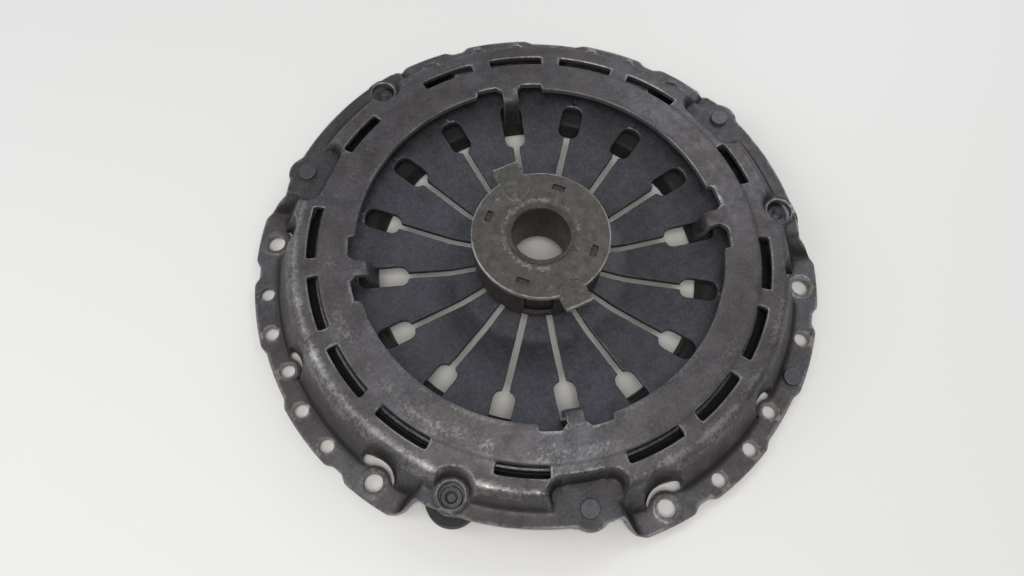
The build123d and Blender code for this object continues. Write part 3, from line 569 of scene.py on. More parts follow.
# ---------------------------------------------------------------- smooth arithmetic
def soft_min(a: np.ndarray, b: np.ndarray, k: float) -> np.ndarray:
    """The lower of two surfaces with a rounded join of reach k."""
    h = np.clip(0.5 + 0.5 * (b - a) / k, 0, 1)
    return b * (1 - h) + a * h - k * h * (1 - h)


def soft_max(a: np.ndarray, b: np.ndarray, k: float) -> np.ndarray:
    """The higher of two surfaces with a rounded join of reach k."""
    return -soft_min(-a, -b, k)


def smooth_step(low: float, high: float, x: np.ndarray) -> np.ndarray:
    """A soft step from 0 at low to 1 at high."""
    t = np.clip((x - low) / (high - low), 0, 1)
    return t * t * (3 - 2 * t)


def sloped(r: np.ndarray, start: Point, end: Point, depth: float) -> np.ndarray:
    """The plane or cone through two points, lowered at right angles by depth."""
    slope = (end[1] - start[1]) / (end[0] - start[0])
    return start[1] + slope * (r - start[0]) - depth * math.hypot(1, slope)


def polar(radius: float, angle: float) -> Point:
    """A flat point from a radius and an angle in degrees."""
    return radius * math.cos(math.radians(angle)), radius * math.sin(math.radians(angle))


def along(r: np.ndarray, angle: np.ndarray, at: float) -> tuple[np.ndarray, np.ndarray]:
    """How far places lie along and across the line from the axis at an angle in degrees."""
    off = np.radians(angle - at)
    return r * np.cos(off), r * np.sin(off)


# ---------------------------------------------------------------- plan outlines
LEAST_CORNERS = 16
SLOT_SAMPLES = 56
# How late along its length a tapered slot widens.
SLOT_TAPER = 2.6


@dataclass
class Loop:
    """One closed outline in plan.

    Attributes:
        points: Its corners in order, as an N by 2 array.
        hole: True if the sheet is open inside it.
        worn: For each corner, True if the edge there is rounded and worn.
    """

    points: np.ndarray
    hole: bool
    worn: np.ndarray

    @classmethod
    def of(cls, points: Sequence[Point], hole: bool, worn: Sequence[bool] | None = None) -> Loop:
        """Makes a loop.

        Args:
            points: Its corners in order.
            hole: True if the sheet is open inside it.
            worn: A flag for each corner, or None if it is worn all round.

        Returns:
            The loop.
        """
        array = np.array(points, float)
        flags = np.ones(len(array), bool) if worn is None else np.array(worn, bool)
        return cls(array, hole, flags)

    def contains(self, points: np.ndarray) -> np.ndarray:
        """Tells which points lie inside the loop.

        Args:
            points: The points, as an N by 2 array.

        Returns:
            A flag for each point.
        """
        low, high = self.points.min(0), self.points.max(0)
        inside = np.zeros(len(points), bool)
        near = np.flatnonzero(((points >= low) & (points <= high)).all(1))
        if not len(near):
            return inside
        x, y = points[near].T
        crossings = np.zeros(len(near), bool)
        for (x0, y0), (x1, y1) in zip(self.points, np.roll(self.points, -1, 0)):
            if y0 == y1:
                continue
            crossings ^= ((y0 > y) != (y1 > y)) & (x < x0 + (y - y0) * (x1 - x0) / (y1 - y0))
        inside[near] = crossings
        return inside

    def inset(self, distance: float) -> np.ndarray:
        """The corners moved into the sheet.

        Args:
            distance: How far, in millimetres.

        Returns:
            The moved corners that are worn.
        """
        ahead = np.roll(self.points, -1, 0) - np.roll(self.points, 1, 0)
        normal = np.stack([-ahead[:, 1], ahead[:, 0]], 1)
        normal /= np.maximum(np.linalg.norm(normal, axis=1, keepdims=True), 1e-9)
        x, y = self.points.T
        area = np.sum(x * np.roll(y, -1) - np.roll(x, -1) * y)
        side = distance if (area > 0) != self.hole else -distance
        return (self.points + normal * side)[self.worn]


def circle(x: float, radius: float, step: float = 0.6) -> list[Point]:
    """A round outline about a point on the X axis.

    Args:
        x: That point's distance from the origin.
        radius: The outline's radius.
        step: The sampling distance.

    Returns:
        The outline's points.
    """
    count = max(LEAST_CORNERS, int(2 * math.pi * radius / step))
    turns = [2 * math.pi * index / count for index in range(count)]
    return [(x + radius * math.cos(angle), radius * math.sin(angle)) for angle in turns]


def turn(points: Sequence[Point], angle: float) -> list[Point]:
    """Points turned about the origin by degrees."""
    c, s = math.cos(math.radians(angle)), math.sin(math.radians(angle))
    return [(x * c - y * s, x * s + y * c) for x, y in points]


def rounded(corners: Sequence[Point], radius: float, step: float = 0.6) -> list[Point]:
    """A polygon with rounded corners, sampled about every step millimetres.

    Args:
        corners: The sharp corners.
        radius: The corner radius.
        step: The sampling distance.

    Returns:
        The outline's points.
    """
    outline: list[Point] = []
    count = len(corners)
    for index in range(count):
        before = Vector(corners[index - 1])
        here = Vector(corners[index])
        after = Vector(corners[(index + 1) % count])
        a, b = (before - here).normalized(), (after - here).normalized()
        half = math.acos(max(-1, min(1, a.dot(b)))) / 2
        reach = min(radius / math.tan(half), (before - here).length / 2, (after - here).length / 2)
        start, end = here + a * reach, here + b * reach
        pieces = max(3, int(reach * 2 / step))
        for piece in range(pieces + 1):
            t = piece / pieces
            point = start * (1 - t) ** 2 + here * 2 * t * (1 - t) + end * t ** 2
            outline.append(tuple(point))
        back = here - after
        next_start = after + back.normalized() * min(radius / math.tan(half), back.length / 2)
        gap = (next_start - end).length
        for piece in range(1, int(gap / step)):
            outline.append(tuple(end.lerp(next_start, piece * step / gap)))
    return outline


def tapered_slot(x: float, radius: float, narrow: float, wide: float, span: float, side: int) -> list[Point]:
    """A curved slot round a hole on +X, on its inner side, that widens towards one end.

    Args:
        x: The hole's distance from the axis.
        radius: The radius of the slot's near edge about the hole.
        narrow: Its width at the narrow end.
        wide: Its width at the wide end.
        span: Degrees from the slot's middle to each end.
        side: Which end is wide, 1 or -1.

    Returns:
        The outline's points.
    """
    shares = 0.5 - 0.5 * np.cos(np.pi * np.linspace(0, 1, SLOT_SAMPLES))
    angles = 180 + side * (2 * shares - 1) * span
    widths = narrow + (wide - narrow) * shares ** SLOT_TAPER
    length = math.radians(2 * span) * radius
    thin = np.minimum(1, shares * length / (narrow / 2))
    thick = np.minimum(1, (1 - shares) * length / (wide / 2))
    ends = np.sqrt(1 - (1 - thin) ** 2) * np.sqrt(1 - (1 - thick) ** 2)
    middle, half = radius + widths / 2, widths / 2 * ends
    near = [polar(r, angle) for r, angle in zip(middle - half, angles)]
    far = [polar(r, angle) for r, angle in zip(middle + half, angles)][1:-1]
    return [(x + px, py) for px, py in near + far[::-1]]


def ring_window(middle: float, half: float, inner: float, outer: float, corner: float) -> list[Point]:
    """A window that follows the ring, with rounded corners.

    Args:
        middle: Its middle in degrees.
        half: Its half span in degrees.
        inner: Its inner radius.
        outer: Its outer radius.
        corner: Its corner radius.

    Returns:
        The outline's points.
    """
    mean = (inner + outer) / 2
    length = math.radians(half) * mean
    flat = rounded([(-length, inner), (length, inner), (length, outer), (-length, outer)], corner)
    return [polar(r, middle + math.degrees(s / mean)) for s, r in flat]


# ---------------------------------------------------------------- sheets from a plan
# Where the face bends more than this over one fine step, it gets the fine spacing.
LEAST_BEND = 0.045
# How near the rims the points of their rounding may come, and how near those the other points.
ROUNDING_CLEAR = 0.8
FINE_CLEAR = 0.6
# How far worn rims are lowered, as a share of their rounding, and the least thickness that is left.
EDGE_DROP = 0.9
LEAST_SHEET = 0.2
# How far from a worn edge its wear ends.
EDGE_REACH = 1.1
# A place is a dip or a crest by how far it lies under or over the mean of those this far away.
BEND_REACH = 3.0
HOLLOW_RANGE = (0.1, 1.1)
CREST_RANGE = (0.1, 0.9)
# How much painted shade the underside of every sheet gets.
UNDERSIDE_SHADE = 0.5
# Sides of a turned profile shorter than this belong to its rounded edges.
SHORT_SIDE = 0.9


@dataclass(frozen=True)
class SheetPlan:
    """A sheet-like piece given by its plan and its two faces.

    Attributes:
        name: The piece's name.
        loops: Its outlines and holes.
        height: The height of its faces at a place, for a depth under the top face.
        thickness: The depth of the underside.
        coarse: The spacing of points where the face is flat.
        fine: The spacing where it bends.
        edge: How far the worn edges are rounded.
        rubbed: How much the top face is rubbed bright at a place, or None.
        extra_darkening: How much darker the top face is drawn at a place, or None.
    """

    name: str
    loops: tuple[Loop, ...]
    height: Height
    thickness: float
    coarse: float = 2.4
    fine: float = 0.8
    edge: float = 0.32
    rubbed: Amount | None = None
    extra_darkening: Amount | None = None

    def interior(self) -> np.ndarray:
        """The points inside the sheet, denser where it bends.

        Returns:
            The points, as an N by 2 array.
        """
        outer = [loop for loop in self.loops if not loop.hole]
        radii = np.hypot(*np.concatenate([loop.points for loop in outer]).T)
        low = 0.0 if any(loop.contains(np.zeros((1, 2)))[0] for loop in outer) else radii.min()
        factor = max(1, round(self.coarse / self.fine))
        rows = []
        for index, r in enumerate(np.arange(low + self.fine / 2, radii.max(), self.fine)):
            count = max(factor * 6, int(2 * math.pi * r / self.fine) // factor * factor)
            angles = 2 * math.pi * (np.arange(count) + 0.5 * (index % 2)) / count
            always = (np.arange(count) % factor == 0) & (index % factor == 0)
            rows.append(np.stack([r * np.cos(angles), r * np.sin(angles), always], 1))
        grid = np.concatenate(rows)
        grid = grid[self.covers(grid[:, :2])]
        x, y = grid[:, 0], grid[:, 1]
        middle = self.height(x, y, 0.0)
        bend = np.zeros(len(grid))
        for dx, dy in ((1, 0), (0, 1), (0.7, 0.7), (0.7, -0.7)):
            before = self.height(x - dx * self.fine, y - dy * self.fine, 0.0)
            after = self.height(x + dx * self.fine, y + dy * self.fine, 0.0)
            bend = np.maximum(bend, np.abs(before + after - 2 * middle))
        return grid[(bend > LEAST_BEND) | (grid[:, 2] > 0)][:, :2]

    def covers(self, points: np.ndarray) -> np.ndarray:
        """Tells which points the sheet covers in plan.

        Args:
            points: The points, as an N by 2 array.

        Returns:
            A flag for each point.
        """
        inside = np.zeros(len(points), bool)
        for loop in self.loops:
            if not loop.hole:
                inside |= loop.contains(points)
        for loop in self.loops:
            if loop.hole:
                inside &= ~loop.contains(points)
        return inside

    def triangles(self) -> tuple[np.ndarray, np.ndarray, np.ndarray]:
        """Triangulates the plan.

        Returns:
            The points, the triangles, and for each point how worn it is.
        """
        rims = np.concatenate([loop.points for loop in self.loops])
        inner = np.concatenate([loop.inset(self.edge) for loop in self.loops])
        inner = far_from(inner[self.covers(inner)], rims, self.edge * ROUNDING_CLEAR)
        inside = far_from(self.interior(), np.concatenate([rims, inner]), self.fine * FINE_CLEAR)
        points = np.concatenate([rims, inner, inside])
        edges = []
        start = 0
        for loop in self.loops:
            size = len(loop.points)
            edges += [(start + i, start + (i + 1) % size) for i in range(size)]
            start += size
        out, _, faces, *_ = delaunay_2d_cdt([Vector(p) for p in points], edges, [], 0, 1e-5)
        flat = np.array([tuple(p) for p in out])
        tris = np.array([f for f in faces if len(f) == 3])
        tris = tris[self.covers(flat[tris].mean(1))]
        worn_rims = [loop.points[loop.worn] for loop in self.loops]
        distance = distances(flat, np.concatenate(worn_rims))
        return flat, tris, np.where(distance < 1e-3, 1.0, 0.0)

    def build(self) -> bpy.types.Object:
        """Makes the piece.

        Returns:
            The new object.
        """
        flat, tris, rim = self.triangles()
        x, y = flat.T
        area = np.cross(flat[tris[:, 1]] - flat[tris[:, 0]], flat[tris[:, 2]] - flat[tris[:, 0]])
        tris[area < 0] = tris[area < 0][:, ::-1]
        middle = self.height(x, y, 0.0)
        drop = rim * self.edge * EDGE_DROP
        top = middle - drop
        bottom = np.minimum(self.height(x, y, self.thickness) + drop, top - LEAST_SHEET)
        count = len(flat)
        directed = np.concatenate([tris[:, [0, 1]], tris[:, [1, 2]], tris[:, [2, 0]]])
        keys = directed[:, 0].astype(np.int64) * count + directed[:, 1]
        reverse = directed[:, 1].astype(np.int64) * count + directed[:, 0]
        start, end = directed[~np.isin(keys, reverse)].T
        walls = np.stack([end, start, start + count, end + count], 1)
        verts = np.concatenate([np.stack([x, y, top], 1), np.stack([x, y, bottom], 1)])
        faces = tris.tolist() + (tris[:, ::-1] + count).tolist() + walls.tolist()
        obj = mesh_object(self.name, verts, faces)
        edge = 1 - smooth_step(0.0, EDGE_REACH, distances(flat, flat[rim > 0.5]))
        around = [polar(BEND_REACH, angle) for angle in range(0, 360, 45)]
        dip = sum(self.height(x + dx, y + dy, 0.0) for dx, dy in around) / len(around) - middle
        keep(obj, "edge", np.concatenate([edge, edge]))
        # Painted shade with some dirt in dips, and painted shade on the underside.
        shade_and_dirt_values = smooth_step(*HOLLOW_RANGE, dip)
        if self.extra_darkening:
            shade_and_dirt_values = np.maximum(shade_and_dirt_values, self.extra_darkening(x, y))
        keep(obj, "hollow", np.concatenate([shade_and_dirt_values, np.full(count, UNDERSIDE_SHADE)]))
        keep(obj, "crest", np.concatenate([smooth_step(*CREST_RANGE, -dip), np.zeros(count)]))
        if self.rubbed:
            keep(obj, "rubbed", np.concatenate([self.rubbed(x, y), np.zeros(count)]))
        return obj


def keep(obj: bpy.types.Object, name: str, values: np.ndarray) -> None:
    """Keeps a value for each point of a piece's mesh under a name."""
    attribute = obj.data.attributes.new(name, "FLOAT", "POINT")
    attribute.data.foreach_set("value", np.asarray(values, np.float32))


def distances(points: np.ndarray, others: np.ndarray) -> np.ndarray:
    """How far each point is from the nearest of some others.

    Args:
        points: The points, as an N by 2 array.
        others: The others, as an N by 2 array.

    Returns:
        A distance for each point.
    """
    tree = KDTree(len(others))
    for index, (x, y) in enumerate(others):
        tree.insert((x, y, 0), index)
    tree.balance()
    return np.array([tree.find((x, y, 0))[2] for x, y in points])


def far_from(points: np.ndarray, others: np.ndarray, distance: float) -> np.ndarray:
    """The points that keep a distance from all the others."""
    return points[distances(points, others) > distance]


def mesh_object(
    name: str, verts: Sequence, faces: Sequence, edge: Sequence[float] | None = None
) -> bpy.types.Object:
    """Makes an object from millimetre points, smooth except over its sharp edges.

    Args:
        name: The object's name.
        verts: The points.
        faces: The faces, as point numbers.
        edge: How worn each point is, or None.

    Returns:
        The new object, in the scene.
    """
    mesh = bpy.data.meshes.new(name)
    mesh.from_pydata((np.array(verts, float) * MM).tolist(), [], list(faces))
    mesh.validate()
    mesh.shade_smooth()
    mesh.set_sharp_from_angle(angle=math.radians(SHARP_ANGLE))
    obj = bpy.data.objects.new(name, mesh)
    bpy.context.scene.collection.objects.link(obj)
    if edge is not None:
        keep(obj, "edge", edge)
    return obj


def swept_faces(sections: int, size: int) -> list[tuple[int, ...]]:
    """The faces of a closed bar whose points are kept section after section.

    Args:
        sections: How many sections it has.
        size: How many points each has, in order round it.

    Returns:
        The faces, as point numbers.
    """
    faces: list[tuple[int, ...]] = []
    last = (sections - 1) * size
    for row in range(0, last, size):
        for k in range(size):
            a, b = row + k, row + (k + 1) % size
            faces.append((a, b, b + size, a + size))
    faces.append(tuple(range(size)))
    faces.append(tuple(range(last, last + size))[::-1])
    return faces


def lathe(name: str, profile: Sequence[Point], segments: int, x: float) -> bpy.types.Object:
    """Makes a closed piece of revolution about an upright line through the X axis.

    Args:
        name: The piece's name.
        profile: The closed outline as radius and height.
        segments: How many steps it has round that line.
        x: The line's distance from the origin.

    Returns:
        The new object.
    """
    verts, faces, edge = [], [], []
    size = len(profile)
    for index in range(segments):
        angle = 2 * math.pi * index / segments
        for r, z in profile:
            verts.append((x + r * math.cos(angle), r * math.sin(angle), z))
    bends = []
    for index in range(size):
        a = Vector(profile[index - 1]) - Vector(profile[index])
        b = Vector(profile[(index + 1) % size]) - Vector(profile[index])
        bends.append(1.0 if min(a.length, b.length) < SHORT_SIDE else 0.0)
    for index in range(segments):
        edge += bends
        near, far = index * size, (index + 1) % segments * size
        for k in range(size):
            after = (k + 1) % size
            faces.append((near + k, far + k, far + after, near + after))
    obj = mesh_object(name, verts, faces, edge)
    weld(obj)
    return obj


def weld(obj: bpy.types.Object) -> None:
    """Joins points that share a place and turns the faces outward.

    Args:
        obj: The piece.
    """
    work = bmesh.new()
    work.from_mesh(obj.data)
    bmesh.ops.remove_doubles(work, verts=work.verts, dist=1e-6)
    bmesh.ops.recalc_face_normals(work, faces=work.faces)
    work.to_mesh(obj.data)
    work.free()
    obj.data.shade_smooth()
    obj.data.set_sharp_from_angle(angle=math.radians(SHARP_ANGLE))


# ---------------------------------------------------------------- repeats
def ring_group(material: bpy.types.Material) -> bpy.types.NodeTree:
    """The node group that repeats a piece round the clutch's axis.

    Args:
        material: The finish of the repeated pieces.

    Returns:
        The node group, with inputs for the count and the first piece's angle.
    """
    group = bpy.data.node_groups.new("ring repeat", "GeometryNodeTree")
    sockets = (
        ("Geometry", "INPUT", "Geometry"), ("Count", "INPUT", "Int"), ("First Angle", "INPUT", "Float"),
        ("Geometry", "OUTPUT", "Geometry"))
    for name, way, kind in sockets:
        group.interface.new_socket(name, in_out=way, socket_type=f"NodeSocket{kind}")
    add = partial(add_node, group)
    given = add("NodeGroupInput").node.outputs
    points = add("GeometryNodePoints", {"Count": given["Count"]})
    step = add(MATH, (2 * math.pi, given["Count"]), operation="DIVIDE")
    turned = add(MATH, (add("GeometryNodeInputIndex"), step), operation="MULTIPLY")
    whole = add(MATH, (turned, given["First Angle"]), operation="ADD")
    rotation = add("ShaderNodeCombineXYZ", {"Z": whole})
    copies = add("GeometryNodeInstanceOnPoints", {
        "Points": points, "Instance": given["Geometry"], "Rotation": rotation})
    real = add("GeometryNodeRealizeInstances", (copies,))
    painted = add("GeometryNodeSetMaterial", {"Geometry": real, "Material": material})
    add("NodeGroupOutput", (painted,))
    return group


def repeat_round(obj: bpy.types.Object, material: bpy.types.Material, count: int, first: float) -> None:
    """Replaces a piece's mesh by copies of it round the clutch's axis.

    Args:
        obj: The piece, modelled on +X.
        material: Its finish.
        count: How many copies there are.
        first: The first copy's angle in degrees.
    """
    modifier = obj.modifiers.new("ring repeat", "NODES")
    modifier.node_group = ring_group(material)
    values = {"Count": count, "First Angle": math.radians(first)}
    for item in modifier.node_group.interface.items_tree:
        if item.item_type == "SOCKET" and item.in_out == "INPUT" and item.name in values:
            modifier[item.identifier] = values[item.name]
    bpy.context.view_layer.update()
    graph = bpy.context.evaluated_depsgraph_get()
    baked = bpy.data.meshes.new_from_object(obj.evaluated_get(graph), depsgraph=graph)
    obj.modifiers.remove(modifier)
    obj.data = baked


# ---------------------------------------------------------------- cover
# Degrees between the points of the cover's outer and inner outline.
RIM_STEP = 0.25
LIP_STEP = 0.35
# The weights that soften the corners of the outer outline, and the half reach of a rivet's lobe in radians.
RIM_WEIGHTS = (0.1, 0.2, 0.4, 0.2, 0.1)
LOBE_REACH = 0.2
# How much tighter the joins are on the underside.
UNDERSIDE_ROUND = 0.5


@dataclass(frozen=True)
class CoverModel:
    """The pressed cover with its bent tabs.

    A field whose name ends in round is the reach of a rounded join, one that ends in slope or draft
    is a rise per millimetre, or degrees from upright for the flanks.
    """

    sheet: float = 3.5
    tabs: int = 4
    # The dome, from its lip to the foot of its wall, as radii and heights.
    lip_radius: float = 90.5
    lip_height: float = 30.8
    step_radius: float = 108.4
    step_height: float = 28.5
    shoulder_radius: float = 120.8
    shoulder_height: float = 26.8
    wall_top: Point = (123.2, 25.5)
    wall_foot: Point = (132.5, 3.5)
    # The joins along it, and how far the underside of pressed walls is moved in.
    dome_round: float = 0.5
    shoulder_round: float = 3.6
    foot_round: float = 2.8
    strap_shoulder: float = 0.6
    strap_round: float = 2.6
    ledge_round: float = 2.2
    wall_share: float = 0.8
    # The strap ledges.
    ledge_foot: float = 127.0
    ledge_height: float = 18.25
    ledge_radius: float = 134.3
    # The flanks between ledges and flanges, in degrees.
    flank_half: float = 37.2
    flank_draft: float = 21.0
    flank_spread: float = 0.18
    flank_least: float = 0.5
    # The mounting holes and the raised seats round them.
    mount_radius: float = 136.0
    mount_angle: float = 30.0
    mount_hole: float = 9.0
    pad_radius: float = 7.0
    pad_rise: float = 0.4
    pad_edge: Point = (0.4, 0.3)
    # The low step of the ring in which the windows lie.
    ring_step: float = 0.7
    ring_step_edge: Point = (0.7, 0.5)
    ring_step_fade: float = 2.0
    # The small holes of a flange, in steps of small_pitch degrees from its middle.
    small_hole: float = 7.2
    small_radius: float = 138.1
    small_pitch: float = 9.0
    small_steps: tuple[int, ...] = (-2, -1, 1, 2)
    middle_radius: float = 135.6
    # The bays round the holes and the relief slots in them.
    clearance: float = 10.2
    middle_clearance: float = 7.4
    relief_width: float = 2.1
    relief_narrow: float = 1.6
    relief_wide: float = 7.0
    relief_span: float = 64.0
    middle_relief: float = 1.0
    middle_wide: float = 5.0
    # The rivets and the pockets that they sit in.
    rivet_radius: float = 127.44
    rivet_angle: float = 14.2
    pocket_inner: float = 115.4
    pocket_half: float = 16.0
    pocket_corner: float = 5.0
    pocket_slope: float = 3.0
    pocket_round: float = 1.4
    lobe: float = 9.8
    # The access holes over the plate's rivets.
    access_radius: float = 126.5
    access_angle: float = -14.0
    access_hole: float = 12.2
    access_pocket: float = 8.0
    access_height: float = 19.4
    access_draft: float = 2.4
    access_round: float = 1.2
    bay_slope: float = 4.5
    bay_round: float = 1.0
    # The windows, four over each flange and one over each ledge.
    window_outer: float = 114.1
    window_half: float = 7.25
    window_strap_half: float = 6.4
    window_pitch: float = 19.5
    window_steps: tuple[float, ...] = (-1.5, -0.5, 0.5, 1.5)
    window_offset: float = 1.0
    window_corner: float = 1.4
    # The bent tabs, whose line is their outer face as radii and heights.
    tab_angle: float = 74.2
    tab_width: float = 7.8
    tab_thickness: float = 3.01
    tab_bevel: float = 0.35
    tab_shrink: float = 0.3
    tab_wear: float = 0.25
    tab_end: Point = (0.9, 0.8)
    tab_line: Line = (
        (94.5, 30.2), (91.5, 30.55), (88.0, 30.4), (85.6, 29.8), (84.2, 28.5), (83.4, 26.6), (82.4, 22.0),
        (81.4, 17.5), (80.8, 14.6))
    # The heights over which a tab's leg goes from full painted shade below to none above.
    tab_leg_shade: Point = (22.0, 29.0)
    # The notches beside the tabs and the rolled lip.
    notch_width: float = 13.2
    notch_depth: float = 3.1
    notch_corner: float = 3.2
    notch_edge: float = 0.6
    notch_start: float = -0.2
    lip_roll: float = 1.6
    lip_drop: float = 0.16
    # The outer outline, as degrees from a flange's middle and radii.
    flange_line: Line = (
        (0.0, 142.4), (5.2, 142.4), (6.8, 144.3), (20.4, 144.3), (21.7, 142.0), (24.2, 142.0),
        (25.7, 144.35), (35.5, 144.35), (37.2, 142.2), (38.4, 138.3), (39.3, 133.6), (40.6, 133.7))
    ledge_start: float = 41.6
    # The rubbed seats, and how much darker the ledges are drawn.
    rub: float = 0.9
    rub_start: Point = (0.3, 0.8)
    rub_end: Point = (0.4, 0.2)
    ledge_darkening: float = 0.5
    ledge_darkening_edge: Point = (0.8, 2.2)

    def profile(self, r: np.ndarray, depth: float, strap: bool) -> np.ndarray:
        """Height along a radius.

        Args:
            r: The distances from the axis.
            depth: The depth under the top face.
            strap: True over a strap ledge, False over a flange.

        Returns:
            The heights.
        """
        lip, step = (self.lip_radius, self.lip_height), (self.step_radius, self.step_height)
        shoulder = (self.shoulder_radius, self.shoulder_height)
        tighter = 1 - UNDERSIDE_ROUND * depth / self.sheet
        dome = soft_min(sloped(r, lip, step, depth), sloped(r, step, shoulder, depth), self.dome_round)
        if depth == 0:
            before, after = self.ring_step_edge
            fall = smooth_step(self.step_radius - before, self.step_radius + after, r)
            fade = smooth_step(self.window_outer - self.ring_step_fade, self.shoulder_radius, r)
            dome = dome - self.ring_step * fall * (1 - fade)
        if strap:
            start = (self.shoulder_radius + self.strap_shoulder, self.shoulder_height)
            wall = sloped(r, start, (self.ledge_foot, self.ledge_height), depth)
            top = soft_min(dome, wall, self.strap_round * tighter)
            return soft_max(top, np.full_like(r, self.ledge_height - depth), self.ledge_round)
        top = soft_min(dome, sloped(r, shoulder, self.wall_top, depth), self.shoulder_round * tighter)
        top = soft_min(top, sloped(r, self.wall_top, self.wall_foot, depth), self.shoulder_round * tighter)
        return soft_max(top, np.full_like(r, self.sheet - depth), self.foot_round)

    def sectors(self, r: np.ndarray, flange: np.ndarray, depth: float) -> np.ndarray:
        """Height of the dome with its ledges and flanges, before anything is pressed into it.

        Args:
            r: The distances from the axis.
            flange: The angles from the nearest flange's middle, in degrees.
            depth: The depth under the top face.

        Returns:
            The heights.
        """
        low, high = self.profile(r, depth, False), self.profile(r, depth, True)
        rise = np.maximum(high - low, 0)
        slope = 1 / math.tan(math.radians(self.flank_draft))
        away = r * np.sin(np.radians(np.abs(flange) - self.flank_half))
        flank = self.sheet + away * slope - depth * math.hypot(1, slope)
        share = (flank - low) / np.maximum(rise, self.flank_least)
        return low + rise * smooth_step(-self.flank_spread, 1 + self.flank_spread, share)

    @staticmethod
    def pressed(
        z: np.ndarray, distance: np.ndarray, floor: float, slope: float, wall: float, k: float
    ) -> np.ndarray:
        """The face pushed down to a floor inside an outline, with sloped sides outside it.

        Args:
            z: The face before.
            distance: The distance outside the outline.
            floor: The floor's height.
            slope: The rise of the sides per millimetre.
            wall: How far the sides are moved down at right angles.
            k: The reach of the rounded joins.

        Returns:
            The pushed face.
        """
        side = floor + np.maximum(distance * slope - wall * (math.hypot(1, slope) - 1), 0)
        soft = soft_min(z, side, k)
        return np.maximum(soft, np.minimum(np.minimum(z, side), floor))

    def height(self, x: np.ndarray, y: np.ndarray, depth: float) -> np.ndarray:
        """Height of the top face, or of the underside.

        Args:
            x: The places' first coordinates.
            y: Their second coordinates.
            depth: The depth under the top face.

        Returns:
            The heights.
        """
        r, angle = np.hypot(x, y), np.degrees(np.arctan2(y, x))
        flange = angle % SECTOR - SECTOR / 2
        strap = (angle + SECTOR / 2) % SECTOR - SECTOR / 2
        wall = depth * self.wall_share
        z = self.sectors(r, flange, depth)
        u, v = along(r, strap, self.rivet_angle)
        a = self.pocket_inner + self.pocket_corner - u
        b = np.abs(v) - (self.pocket_half - self.pocket_corner)
        corner = np.hypot(np.maximum(a, 0), np.maximum(b, 0))
        outside = corner + np.minimum(np.maximum(a, b), 0) - self.pocket_corner
        z = self.pressed(z, outside, self.ledge_height - depth, self.pocket_slope, wall, self.pocket_round)
        u, v = along(r, strap, self.access_angle)
        u = u - self.access_radius
        outside = np.hypot(u, v) - self.access_pocket
        boss = self.access_height - depth - np.maximum(outside, 0) * self.access_draft
        z = soft_max(z, boss, self.access_round)
        outside = np.where(u > 0, np.abs(v) - self.access_pocket, outside)
        z = self.pressed(z, outside, self.access_height - depth, self.access_draft, wall, self.access_round)
        bays = ((self.mount_radius, -self.mount_angle, self.clearance, self.pad_rise),
                (self.mount_radius, self.mount_angle, self.clearance, self.pad_rise),
                (self.middle_radius, 0.0, self.middle_clearance, 0.0))
        for radius, at, clearance, pad in bays:
            u, v = along(r, flange, at)
            reach = np.hypot(u - radius, v)
            z = self.pressed(z, reach - clearance, self.sheet - depth, self.bay_slope, wall, self.bay_round)
            if depth == 0:
                low, high = self.pad_radius - self.pad_edge[0], self.pad_radius + self.pad_edge[1]
                z = z + pad * (1 - smooth_step(low, high, reach))
        if depth == 0:
            z = z - self.lip_drop * np.maximum(self.lip_radius + self.lip_roll - r, 0) ** 2
        return z

    def rubbed(self, x: np.ndarray, y: np.ndarray) -> np.ndarray:
        """How bright the bolt heads have rubbed the seats round the mounting holes.

        Args:
            x: The places' first coordinates.
            y: Their second coordinates.

        Returns:
            The brightness, from 0 to 1.
        """
        flange = np.degrees(np.arctan2(y, x)) % SECTOR - SECTOR / 2
        u, v = along(np.hypot(x, y), np.abs(flange), self.mount_angle)
        reach = np.hypot(u - self.mount_radius, v)
        hole = self.mount_hole / 2
        inside = smooth_step(hole + self.rub_start[0], hole + self.rub_start[1], reach)
        outside = smooth_step(self.pad_radius - self.rub_end[0], self.pad_radius + self.rub_end[1], reach)
        return self.rub * inside * (1 - outside)

    def extra_darkening(self, x: np.ndarray, y: np.ndarray) -> np.ndarray:
        """How much darker the strap ledges, and faces near their height, are drawn."""
        off = np.abs(self.height(x, y, 0.0) - self.ledge_height)
        return self.ledge_darkening * (1 - smooth_step(*self.ledge_darkening_edge, off))

    def rim(self) -> list[Point]:
        """The outer outline: flanges, ledges and a lobe round each rivet.

        Returns:
            The outline's points.
        """
        line = (*self.flange_line, (self.ledge_start, self.ledge_radius), (SECTOR / 2, self.ledge_radius))
        turns, radii = zip(*line)
        angles = np.arange(0, 360, RIM_STEP)
        base = np.interp(np.abs(angles % SECTOR - SECTOR / 2), turns, radii)
        off = np.radians((angles + SECTOR / 2) % SECTOR - SECTOR / 2 - self.rivet_angle)
        across = self.lobe ** 2 - (self.rivet_radius * np.sin(off)) ** 2
        lobe = self.rivet_radius * np.cos(off) + np.sqrt(np.maximum(across, 0))
        base = np.where((across > 0) & (np.abs(off) < LOBE_REACH), np.maximum(base, lobe), base)
        shift = len(RIM_WEIGHTS) // 2
        smooth = sum(weight * np.roll(base, k - shift) for k, weight in enumerate(RIM_WEIGHTS))
        return [polar(r, a) for r, a in zip(smooth, angles)]

